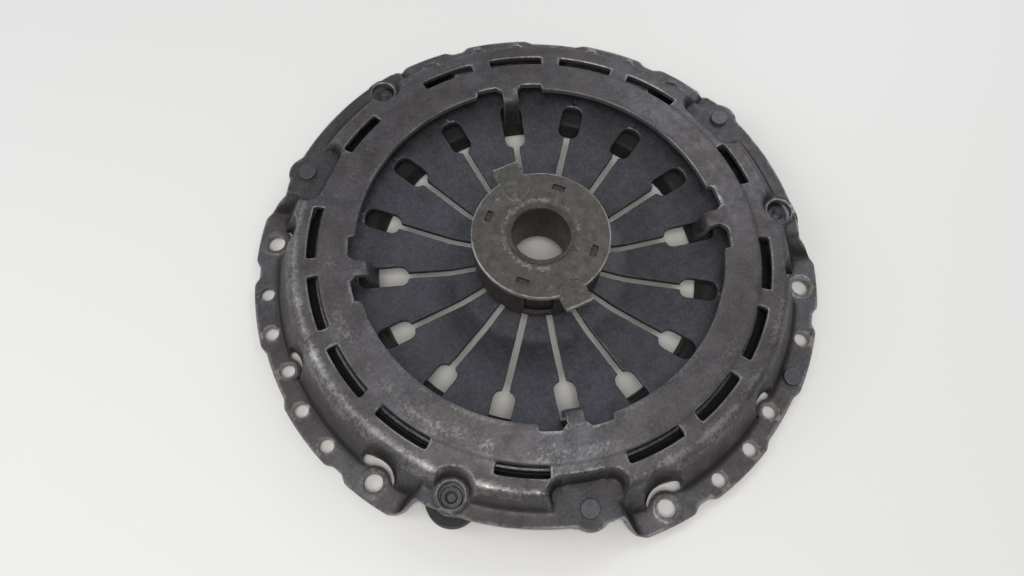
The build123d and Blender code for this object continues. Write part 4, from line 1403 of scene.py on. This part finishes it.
    def lip(self) -> list[Point]:
        """The inner outline, cut back beside the tabs.

        Returns:
            The outline's points.
        """
        angles = np.arange(0, 360, LIP_STEP)
        radii = np.full_like(angles, self.lip_radius)
        for tab in range(self.tabs):
            off = (angles - self.tab_angle - tab * 360 / self.tabs + 180) % 360 - 180
            beside = np.abs(np.radians(off) * self.lip_radius) - self.tab_width / 2
            notch = smooth_step(self.notch_start, self.notch_corner, beside)
            wide, edge = self.notch_width, self.notch_edge
            notch *= 1 - smooth_step(wide - edge, wide + edge, beside)
            radii += self.notch_depth * notch
        return [polar(r, a) for r, a in zip(radii, angles)]

    def loops(self) -> tuple[Loop, ...]:
        """All outlines in plan.

        Returns:
            The outer outline, the inner one and then the holes, sector by sector.
        """
        small = circle(self.small_radius, self.small_hole / 2)
        middle = circle(self.middle_radius, self.small_hole / 2)
        mount = circle(self.mount_radius, self.mount_hole / 2)
        access = circle(self.access_radius, self.access_hole / 2)
        near = self.clearance - self.relief_width
        near_middle = self.middle_clearance - self.middle_relief
        loops = [Loop.of(self.rim(), False), Loop.of(self.lip(), True)]
        for sector in range(SECTORS):
            strap = sector * SECTOR
            flange = strap + SECTOR / 2
            for side in (-1, 1):
                at = flange + side * self.mount_angle
                loops.append(Loop.of(turn(mount, at), True))
                slot = tapered_slot(
                    self.mount_radius, near, self.relief_narrow, self.relief_wide, self.relief_span, side)
                loops.append(Loop.of(turn(slot, at), True, [False] * len(slot)))
            for step in self.small_steps:
                loops.append(Loop.of(turn(small, flange + step * self.small_pitch), True))
            loops.append(Loop.of(turn(middle, flange), True))
            side = -1 if sector == SECTORS - 1 else 1
            slot = tapered_slot(
                self.middle_radius, near_middle, self.middle_relief, self.middle_wide, self.relief_span, side)
            loops.append(Loop.of(turn(slot, flange), True, [False] * len(slot)))
            loops.append(Loop.of(turn(access, strap + self.access_angle), True))
            first = flange + self.window_offset
            windows = [(first + step * self.window_pitch, self.window_half) for step in self.window_steps]
            for at, half in windows + [(strap, self.window_strap_half)]:
                window = ring_window(at, half, self.step_radius, self.window_outer, self.window_corner)
                loops.append(Loop.of(window, True))
        return tuple(loops)

    def tab(self, angle: float) -> tuple[list, list, list]:
        """One bent tab.

        Args:
            angle: Its angle in degrees.

        Returns:
            The points, the faces and how worn each point is.
        """
        outer, inner = list(self.tab_line), []
        for index, (r, z) in enumerate(outer):
            before = Vector(outer[max(index - 1, 0)])
            after = Vector(outer[min(index + 1, len(outer) - 1)])
            way = (after - before).normalized() * self.tab_thickness
            inner.append((r - way.y, z + way.x))
        out, down = self.tab_end
        end = [(outer[-1][0] + out, outer[-1][1] - down), (inner[-1][0] - out, inner[-1][1] - down)]
        ring = outer + end + inner[::-1]
        half = self.tab_width / 2
        middle = Vector(np.array(ring).mean(0))
        verts, edge = [], []
        widths = (-half, -half + self.tab_bevel, half - self.tab_bevel, half)
        for y in widths:
            shrink = self.tab_shrink if abs(y) == half else 0.0
            for r, z in ring:
                pull = (Vector((r, z)) - middle).normalized() * shrink
                verts.append((*turn([(r - pull.x, y)], angle)[0], z - pull.y))
                edge.append(1.0 if shrink else self.tab_wear)
        return verts, swept_faces(len(widths), len(ring)), edge

    def build(self) -> bpy.types.Object:
        """Makes the cover.

        Returns:
            The new object.
        """
        shell = SheetPlan(
            "pressed_cover", self.loops(), self.height, self.sheet, rubbed=self.rubbed, extra_darkening=self.extra_darkening)
        pieces = [shell.build()]
        for index in range(self.tabs):
            verts, faces, edge = self.tab(self.tab_angle + index * 360 / self.tabs)
            piece = mesh_object(f"cover_tab_{index}", verts, faces, edge)
            # Painted shade down the tab's leg.
            keep(piece, "hollow", np.array([1 - smooth_step(*self.tab_leg_shade, z) for *_, z in verts]))
            weld(piece)
            pieces.append(piece)
        return joined(pieces)

    def dress(self, finishes: Finishes) -> None:
        """Adds the cover to the scene.

        Args:
            finishes: The scene's materials.
        """
        cover = self.build()
        finishes.paint(cover, "cover_steel")
        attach(cover, "cover")
        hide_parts("cover_shell")


def joined(pieces: Sequence[bpy.types.Object]) -> bpy.types.Object:
    """Joins some objects into the first of them.

    Args:
        pieces: The objects.

    Returns:
        The first object, with the meshes of all.
    """
    with bpy.context.temp_override(active_object=pieces[0], object=pieces[0], selected_objects=list(pieces),
                                   selected_editable_objects=list(pieces)):
        bpy.ops.object.join()
    return pieces[0]


# ---------------------------------------------------------------- diaphragm spring
# What counts as on a keyhole's middle line, as past its rounded end, and as on its side.
ON_LINE = 1e-6
KEY_MARGIN = 0.01
KEY_FLAT = 0.2
# How far a keyhole's points keep from the slot's side.
SLOT_CLEAR = 0.25


@dataclass(frozen=True)
class SpringModel:
    """The diaphragm spring as one piece for each finger.

    The line is the middle of its thickness as radii and heights. The first slot lies at the clocking
    angle, in degrees, and the keyholes that the cover's tabs pass through reach further in. The blend's
    start is a radius at the cover and its end one at the release hub.
    """

    thickness: float = 2.8
    tip_radius: float = 22.5
    radius: float = 111.2
    fingers: int = 16
    clocking: float = 74.2
    slot: float = 3.4
    key_width: float = 10.8
    key_inner: float = 72.4
    tab_key_inner: float = 66.0
    tab_keys: int = 4
    key_outer: float = 90.4
    key_corner: float = 5.0
    line: Line = ((22.5, 9.6), (34.0, 9.1), (45.0, 8.3), (75.0, 13.7), (111.2, 19.41))
    line_margin: float = 8.0
    line_samples: int = 400
    line_smooth: int = 13
    step: float = 0.8
    rim_samples: int = 60
    tip_samples: int = 9
    blend_start: float = 119.6
    blend_end: float = 24.0

    @cached_property
    def middle(self) -> tuple[np.ndarray, np.ndarray]:
        """The line with its corners smoothed.

        Returns:
            Its radii and its heights.
        """
        line, margin, reach = self.line, self.line_margin, self.line_smooth
        radii = np.linspace(line[0][0] - margin, line[-1][0] + margin, self.line_samples)
        heights = np.interp(radii, *zip(*line))
        heights = np.where(radii < line[0][0], sloped(radii, line[0], line[1], 0.0), heights)
        heights = np.where(radii > line[-1][0], sloped(radii, line[-1], line[-2], 0.0), heights)
        kernel = np.hanning(2 * reach + 1)
        smooth = np.convolve(np.pad(heights, reach, "edge"), kernel / kernel.sum(), "valid")
        smooth[:reach], smooth[-reach:] = heights[:reach], heights[-reach:]
        return radii, smooth

    def height(self, x: np.ndarray, y: np.ndarray, depth: float) -> np.ndarray:
        """Height of the upper face, or of the underside at a depth."""
        return np.interp(np.hypot(x, y), *self.middle) + self.thickness / 2 - depth

    def side(self, key_inner: float) -> list[tuple[float, float, bool]]:
        """One finger's side from the rim to the tip, with whether each point's edge is worn.

        Args:
            key_inner: The radius of the keyhole's inner end.

        Returns:
            The points on the +Y side of a finger on +X, each with its flag.
        """
        half = 180 / self.fingers
        side = [(*polar(r, half), False) for r in np.arange(self.radius, self.key_outer, -self.step)]
        key = [(self.key_outer, 0.0)] + self.half_key(key_inner)
        side += [(*turn([p], half)[0], index > 0) for index, p in enumerate(key)]
        for r in np.arange(key_inner - self.step / 2, self.tip_radius, -self.step):
            side.append((*turn([(r, -self.slot / 2)], half)[0], True))
        return side

    def outline(self, low_inner: float, high_inner: float) -> Loop:
        """One finger's outline on +X, from slot middle to slot middle.

        Args:
            low_inner: The inner radius of the keyhole on its -Y side.
            high_inner: The inner radius of the keyhole on its +Y side.

        Returns:
            The outline.
        """
        half = 180 / self.fingers
        side = self.side(high_inner)
        other = self.side(low_inner)
        tip_half = half - math.degrees(math.asin(self.slot / 2 / self.tip_radius))
        points = [(x, y) for x, y, _ in side]
        worn = [w for *_, w in side]
        for angle in np.linspace(tip_half, -tip_half, self.tip_samples):
            points.append(polar(self.tip_radius, angle))
            worn.append(True)
        points += [(x, -y) for x, y, _ in reversed(other)]
        worn += [w for *_, w in reversed(other)]
        for angle in np.linspace(-half, half, self.rim_samples)[1:-1]:
            points.append(polar(self.radius, angle))
            worn.append(True)
        return Loop.of(points[::-1], False, worn[::-1])

    def half_key(self, key_inner: float) -> list[Point]:
        """The lower half of a keyhole's outline, from its outer end to the slot.

        Args:
            key_inner: The radius of the keyhole's inner end.

        Returns:
            The points in order, without those that fall in the slot.
        """
        half = self.key_width / 2
        corners_at = [(key_inner, -half), (self.key_outer, -half), (self.key_outer, half), (key_inner, half)]
        flat = rounded(corners_at, self.key_corner, step=0.5)
        lower = [p for p in flat if p[1] < -ON_LINE]
        outer_start, inner_end = self.key_outer - self.key_corner - KEY_MARGIN, key_inner + self.key_corner
        outer = sorted((p for p in lower if p[0] > outer_start), key=lambda p: -p[1])
        bottom = [p for p in lower if inner_end <= p[0] <= outer_start and p[1] < KEY_FLAT - half]
        inner = [p for p in lower if p[0] < inner_end and p[1] < -self.slot / 2 - SLOT_CLEAR]
        return outer + sorted(bottom, key=lambda p: -p[0]) + sorted(inner, key=lambda p: p[1])

    def build(self) -> list[tuple[bpy.types.Object, float]]:
        """Makes the fingers.

        Returns:
            Each finger with its angle in degrees.
        """
        every = self.fingers // self.tab_keys
        shapes: dict[tuple[float, ...], bpy.types.Object] = {}
        fingers = []
        for index in range(self.fingers):
            sides = (index, index + 1)
            inner = tuple(self.key_inner if side % every else self.tab_key_inner for side in sides)
            if inner not in shapes:
                loops = (self.outline(*inner),)
                plan = SheetPlan("finger", loops, self.height, self.thickness, coarse=2.2, fine=1.1, edge=0.3)
                shapes[inner] = plan.build()
            mesh = shapes[inner].data.copy()
            angle = self.clocking + (index + 0.5) * 360 / self.fingers
            mesh.transform(Matrix.Rotation(math.radians(angle), 4, "Z"))
            finger = bpy.data.objects.new(f"diaphragm_finger_{index + 1:02d}", mesh)
            bpy.context.scene.collection.objects.link(finger)
            fingers.append((finger, angle))
        for shape in shapes.values():
            bpy.data.objects.remove(shape)
        return fingers

    def dress(self, finishes: Finishes) -> None:
        """Adds the fingers, which run from the release hub out under the cover, in place of the CAD spring.

        Args:
            finishes: The scene's materials.
        """
        for finger, angle in self.build():
            finishes.paint(finger, "spring_steel")
            start = Vector((*polar(self.blend_start, angle), 0.0)) * MM
            end = Vector((*polar(self.blend_end, angle), 0.0)) * MM
            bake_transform(finger)
            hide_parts("diaphragm_spring")


# ---------------------------------------------------------------- drive straps
# The most of a leaf's half width that its bevel takes, at its ends.
BEVEL_SHARE = 1 / 3


@dataclass(frozen=True)
class StrapModel:
    """The three packs of drive straps.

    The first two fields are the place of the rivet in the cover. A leaf's rounded ends are cut off where
    they are twice least_half wide.
    """

    rivet_radius: float
    rivet_angle: float
    leaves: int = 3
    thickness: float = 0.7
    gap: float = 0.02
    width: float = 17.0
    bend_start: float = 13.0
    plate_radius: float = 126.8
    plate_angle: float = -14.0
    cover_top: float = 14.73
    plate_top: float = 12.46
    bevel: float = 0.18
    least_half: float = 0.2236068
    bend_samples: int = 45
    end_samples: int = 9

    @property
    def start(self) -> Vector:
        """The place of the rivet in the cover."""
        return Vector(polar(self.rivet_radius, self.rivet_angle))

    @property
    def end(self) -> Vector:
        """The place of the rivet in the pressure plate."""
        return Vector(polar(self.plate_radius, self.plate_angle))

    def leaf(self, layer: int) -> tuple[list, list]:
        """One leaf along +X, from the cover's rivet.

        Args:
            layer: Its number, from the top.

        Returns:
            The points and the faces.
        """
        length = (self.end - self.start).length
        drop = layer * (self.thickness + self.gap)
        half = self.width / 2
        quarter = np.linspace(0, math.pi / 2, self.end_samples)
        stations = np.concatenate([
            -half * np.cos(quarter),
            np.linspace(0, length, self.bend_samples)[1:-1],
            length + half * np.sin(quarter),
        ])
        verts = []
        for x in stations:
            over = max(0.0, -x, x - length)
            wide = math.sqrt(max(half ** 2 - over ** 2, self.least_half ** 2))
            share = float(smooth_step(self.bend_start, length - self.bend_start, np.array(x)))
            z = self.cover_top * (1 - share) + self.plate_top * share - drop
            flat = wide - min(self.bevel, wide * BEVEL_SHARE)
            low, middle = z - self.thickness, z - self.thickness / 2
            section = ((-wide, middle), (-flat, z), (flat, z), (wide, middle), (flat, low), (-flat, low))
            verts += [(x, y, height) for y, height in section]
        return verts, swept_faces(len(stations), len(section))

    def build(self) -> list[tuple[bpy.types.Object, Vector, Vector]]:
        """Makes the packs.

        Returns:
            Each pack with the places of its cover rivet and its plate rivet.
        """
        heading = math.degrees(math.atan2(*(self.end - self.start).yx))
        packs = []
        for sector in range(SECTORS):
            verts: list = []
            faces: list = []
            for layer in range(self.leaves):
                more, sides = self.leaf(layer)
                faces += [tuple(v + len(verts) for v in side) for side in sides]
                verts += more
            placed = []
            for x, y, z in verts:
                px, py = turn([(x, y)], heading)[0]
                px, py = turn([(px + self.start.x, py + self.start.y)], sector * SECTOR)[0]
                placed.append((px, py, z))
            pack = mesh_object(f"strap_leaves_{sector + 1}", placed, faces)
            weld(pack)
            ends = []
            for point, z in ((self.start, self.cover_top), (self.end, self.plate_top)):
                ends.append(Vector((*turn([tuple(point)], sector * SECTOR)[0], z)) * MM)
            packs.append((pack, *ends))
        return packs

    def dress(self, finishes: Finishes) -> None:
        """Adds the packs, which run from the cover's rivets down to the pressure plate's, in place of the CAD
        packs.

        Args:
            finishes: The scene's materials.
        """
        for index, (pack, start, end) in enumerate(self.build()):
            finishes.paint(pack, "strap_steel")
            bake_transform(pack)
            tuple(start)
            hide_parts(f"strap_pack_{index + 1}")


# ---------------------------------------------------------------- fork plate
@dataclass(frozen=True)
class ForkPlateModel:
    """The disc with two raised tabs that the release fork pulls.

    Its tabs are raised by tab_rise from tab_inner outwards, which differs between the two. Its first
    clip slot lies at the clocking angle, in degrees.
    """

    radius: float = 33.6
    bore: float = 16.2
    bottom: float = 36.25
    top: float = 39.25
    tab_half: float = 6.9
    tab_reach: float = 41.0
    tab_inner: Point = (19.5, 26.5)
    tab_stretch: float = 1.15
    tab_edge: Point = (0.5, 0.35)
    seat_start: float = 33.0
    tab_rise: float = 0.8
    dish: float = 0.25
    dish_edge: Point = (17.2, 18.6)
    slots: int = 4
    slot_radius: float = 26.6
    slot_length: float = 6.3
    slot_width: float = 3.2
    slot_corner: float = 0.5
    clocking: float = 45.0
    rim_step: float = 0.75

    def height(self, x: np.ndarray, y: np.ndarray, depth: float) -> np.ndarray:
        """Height of the top face, or of the underside.

        Args:
            x: The places' first coordinates.
            y: Their second coordinates.
            depth: The depth under the top face. Any depth over 0 means the underside.

        Returns:
            The heights.
        """
        if depth > 0:
            return np.where(np.abs(y) > self.seat_start, self.bottom + self.tab_rise, self.bottom)
        centre = np.where(y > 0, self.tab_inner[0], self.tab_inner[1]) + self.tab_half
        beyond = np.maximum(centre - np.abs(y), 0)
        outside = np.hypot(x, beyond * self.tab_stretch) - self.tab_half
        raised = self.tab_rise * (1 - smooth_step(-self.tab_edge[0], self.tab_edge[1], outside))
        return self.top + raised - self.dish * (1 - smooth_step(*self.dish_edge, np.hypot(x, y)))

    def rim(self) -> list[Point]:
        """The outer outline with the two tabs.

        Returns:
            The outline's points.
        """
        points = []
        for angle in np.arange(0, 360, self.rim_step):
            off = abs(math.radians(angle % 180 - 90))
            r = self.radius
            if off < math.asin(self.tab_half / self.radius) + 0.001:
                r = max(r, min(self.tab_reach / math.cos(off), self.tab_half / max(math.sin(off), 1e-6)))
            points.append(polar(r, angle))
        return points

    def build(self) -> bpy.types.Object:
        """Makes the disc.

        Returns:
            The new object.
        """
        bore = circle(0, self.bore)
        loops = [Loop.of(self.rim(), False), Loop.of(bore, True, [False] * len(bore))]
        low, high = self.slot_radius - self.slot_width / 2, self.slot_radius + self.slot_width / 2
        half = self.slot_length / 2
        slot = rounded([(low, -half), (high, -half), (high, half), (low, half)], self.slot_corner, step=0.5)
        for index in range(self.slots):
            at = self.clocking + index * 360 / self.slots
            loops.append(Loop.of(turn(slot, at), True, [False] * len(slot)))
        plan = SheetPlan(
            "fork_disc", tuple(loops), self.height, self.top - self.bottom, coarse=1.8, fine=0.6, edge=0.35)
        return plan.build()

    def dress(self, finishes: Finishes) -> None:
        """Adds the disc to the scene.

        Args:
            finishes: The scene's materials.
        """
        disc = self.build()
        finishes.paint(disc, "bearing_plate_steel")
        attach(disc, "fork_side")
        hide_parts("fork_plate")


# ---------------------------------------------------------------- small turned pieces
@dataclass(frozen=True)
class RivetModel:
    """The heads of the cover's rivets.

    The crown is a head's rounded edge, as distances inwards from its radius and heights over the top,
    and the flat is its middle, as radii and heights over the top.
    """

    seat: float
    radius: float
    angle: float
    head: float = 4.45
    shank: float = 2.9
    depth: float = 1.5
    top: float = 20.1
    crown: Line = ((0.0, -0.65), (0.22, -0.2), (0.75, 0.0))
    flat: Line = ((1.6, 0.02), (0.0, -0.05))
    chamfer: float = 0.3

    def profile(self) -> list[Point]:
        """A head's outline.

        Returns:
            The closed outline as radius and height.
        """
        foot = self.seat - self.depth
        outline = [(0, foot), (self.shank, foot), (self.shank, self.seat)]
        outline += [(self.head - self.chamfer, self.seat), (self.head, self.seat + self.chamfer)]
        outline += [(self.head - inwards, self.top + rise) for inwards, rise in self.crown]
        return outline + [(r, self.top + rise) for r, rise in self.flat]

    def dress(self, finishes: Finishes) -> None:
        """Adds the heads to the scene.

        Args:
            finishes: The scene's materials.
        """
        heads = lathe("cover_rivet_heads", self.profile(), segments=40, x=self.radius)
        repeat_round(heads, finishes.of(RIVET_STEEL), SECTORS, self.angle)
        finishes.paint(heads, "rivet_steel")
        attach(heads, "cover")


@dataclass(frozen=True)
class BallModel:
    """The bearing's row of balls."""

    count: int = 16
    radius: float = 3.25
    row_radius: float = 25.1
    height: float = 25.0
    rows: int = 16

    def profile(self) -> list[Point]:
        """A ball's outline.

        Returns:
            The closed outline as radius and height.
        """
        turns = [math.pi * row / self.rows for row in range(self.rows + 1)]
        r, z = self.radius, self.height
        return [(r * math.sin(angle), z - r * math.cos(angle)) for angle in turns]

    def dress(self, finishes: Finishes) -> None:
        """Adds the balls to the scene.

        Args:
            finishes: The scene's materials.
        """
        balls = lathe("race_balls", self.profile(), segments=24, x=self.row_radius)
        repeat_round(balls, finishes.of(BALL_STEEL), self.count, 0.0)
        finishes.paint(balls, "ball_steel")
        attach(balls, "cage")
        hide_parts("bearing_balls")


# ---------------------------------------------------------------- room
@dataclass(frozen=True)
class RoomLook:
    """The floor and the light of the room. The floor's height is in millimetres, its half side in metres."""

    floor_half: float = 3.0
    floor_height: float = -1.27
    floor_colour: str = "#D3D2CE"
    floor_roughness: float = 0.55
    sky_colour: str = "#E4E6EA"
    sky_strength: float = 0.54


@dataclass(frozen=True)
class Lamp:
    """One square lamp that faces the origin. Its place and width are in metres, its power in watts."""

    name: str
    place: tuple[float, float, float]
    width: float
    power: float
    tint: str


@dataclass(frozen=True)
class CameraView:
    """Where the camera looks from. Lengths are in millimetres and angles in degrees.

    Attributes:
        elevation: The angle over the floor.
        roll: The turn about the line of sight.
        clocking: The turn of the whole view about the clutch's axis.
        target: The point it looks at, before that turn.
        distance: How far it is from the target.
        lens: Its focal length.
        sensor: The width of its sensor.
        near: The nearest distance that it shows.
    """

    elevation: float = 66.639
    roll: float = 3.1139
    clocking: float = -28.2
    target: tuple[float, float, float] = (-12.508, -13.022, 1.75)
    distance: float = 429.09
    lens: float = 29.41
    sensor: float = 36.0
    near: float = 10.0


LAMPS = (
    Lamp("ceiling", (-0.24, -0.42, 1.12), 0.6, 8.8, "#FFFCF8"),
    Lamp("window", (-0.9, 0.35, 0.75), 0.7, 5.0, "#F1F5FF"),
    Lamp("far window", (0.9, 0.5, 0.8), 0.6, 5.0, "#F1F5FF"),
)


@dataclass(frozen=True)
class Room:
    """The floor, the lights and the camera.

    Attributes:
        look: The floor and the room's soft light.
        lamps: The lamps.
        view: Where the camera looks from.
    """

    look: RoomLook = RoomLook()
    lamps: tuple[Lamp, ...] = LAMPS
    view: CameraView = CameraView()

    def add_floor(self) -> None:
        """Adds the pale floor that the piece lies on."""
        half, z = self.look.floor_half, self.look.floor_height * MM
        mesh = bpy.data.meshes.new("floor")
        mesh.from_pydata([(-half, -half, z), (half, -half, z), (half, half, z), (-half, half, z)], [],
                         [(0, 1, 2, 3)])
        floor = bpy.data.objects.new("floor", mesh)
        bpy.context.scene.collection.objects.link(floor)
        paint = bpy.data.materials.new("pale floor")
        paint.use_nodes = True
        shader = paint.node_tree.nodes["Principled BSDF"]
        shader.inputs["Base Color"].default_value = srgb(self.look.floor_colour)
        shader.inputs["Roughness"].default_value = self.look.floor_roughness
        mesh.materials.append(paint)
        floor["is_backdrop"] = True

    def add_lights(self) -> None:
        """Adds the room's soft light and its lamps."""
        scene = bpy.context.scene
        scene.view_settings.view_transform = "Standard"
        scene.world = bpy.data.worlds.new("soft room")
        scene.world.use_nodes = True
        sky = scene.world.node_tree.nodes["Background"]
        sky.inputs["Color"].default_value = srgb(self.look.sky_colour)
        sky.inputs["Strength"].default_value = self.look.sky_strength
        for lamp in self.lamps:
            area = bpy.data.lights.new(lamp.name, "AREA")
            area.size = lamp.width
            area.energy = lamp.power
            area.color = srgb(lamp.tint)[:3]
            light = bpy.data.objects.new(lamp.name, area)
            light.location = lamp.place
            light.rotation_mode = "QUATERNION"
            light.rotation_quaternion = (-Vector(lamp.place)).to_track_quat("-Z", "Y")
            scene.collection.objects.link(light)
            light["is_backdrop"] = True

    def add_camera(self) -> None:
        """Adds the camera."""
        view, scene = self.view, bpy.context.scene
        elevation, roll = math.radians(view.elevation), math.radians(view.roll)
        right = Vector((1, 0, 0))
        up = Vector((0, math.sin(elevation), math.cos(elevation)))
        back = Vector((0, -math.cos(elevation), math.sin(elevation)))
        x_axis = math.cos(roll) * right + math.sin(roll) * up
        y_axis = -math.sin(roll) * right + math.cos(roll) * up
        basis = Matrix((x_axis, y_axis, back)).transposed().to_4x4()
        basis.translation = (Vector(view.target) + back * view.distance) * MM
        camera = bpy.data.cameras.new("camera")
        camera.lens = view.lens
        camera.sensor_width = view.sensor
        camera.clip_start = view.near * MM
        holder = bpy.data.objects.new("camera", camera)
        holder.matrix_world = Matrix.Rotation(math.radians(view.clocking), 4, "Z") @ basis
        scene.collection.objects.link(holder)
        scene.camera = holder

    def build(self) -> None:
        """Adds all of it to the scene."""
        self.add_floor()
        self.add_lights()
        self.add_camera()


def corners(bounds: tuple[Vector, Vector]) -> list[list[float]]:
    """The two corners of a box as plain lists."""
    return [[float(v) for v in corner] for corner in bounds]


def main() -> None:
    """Builds the clutch and its room, reports the pieces and notes the size before and after."""
    logging.basicConfig(level=logging.INFO)
    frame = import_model()
    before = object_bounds()
    finishes = Finishes()
    finishes.paint_nodes(frame)
    cover = CoverModel()
    rivets = RivetModel(cover.ledge_height, cover.rivet_radius, cover.rivet_angle)
    straps = StrapModel(cover.rivet_radius, cover.rivet_angle)
    for model in (cover, rivets, SpringModel(), straps, ForkPlateModel(), BallModel()):
        model.dress(finishes)
    for name, finish, faces in finishes.painted:
        LOG.info("%s in %s, %d faces", name, finish, faces)
    Room().build()
    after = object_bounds()
    LOG.info("size before %s and after %s", corners(before), corners(after))
    {"cad": corners(before), "visual": corners(after)}


if __name__ == "__main__":
    main()
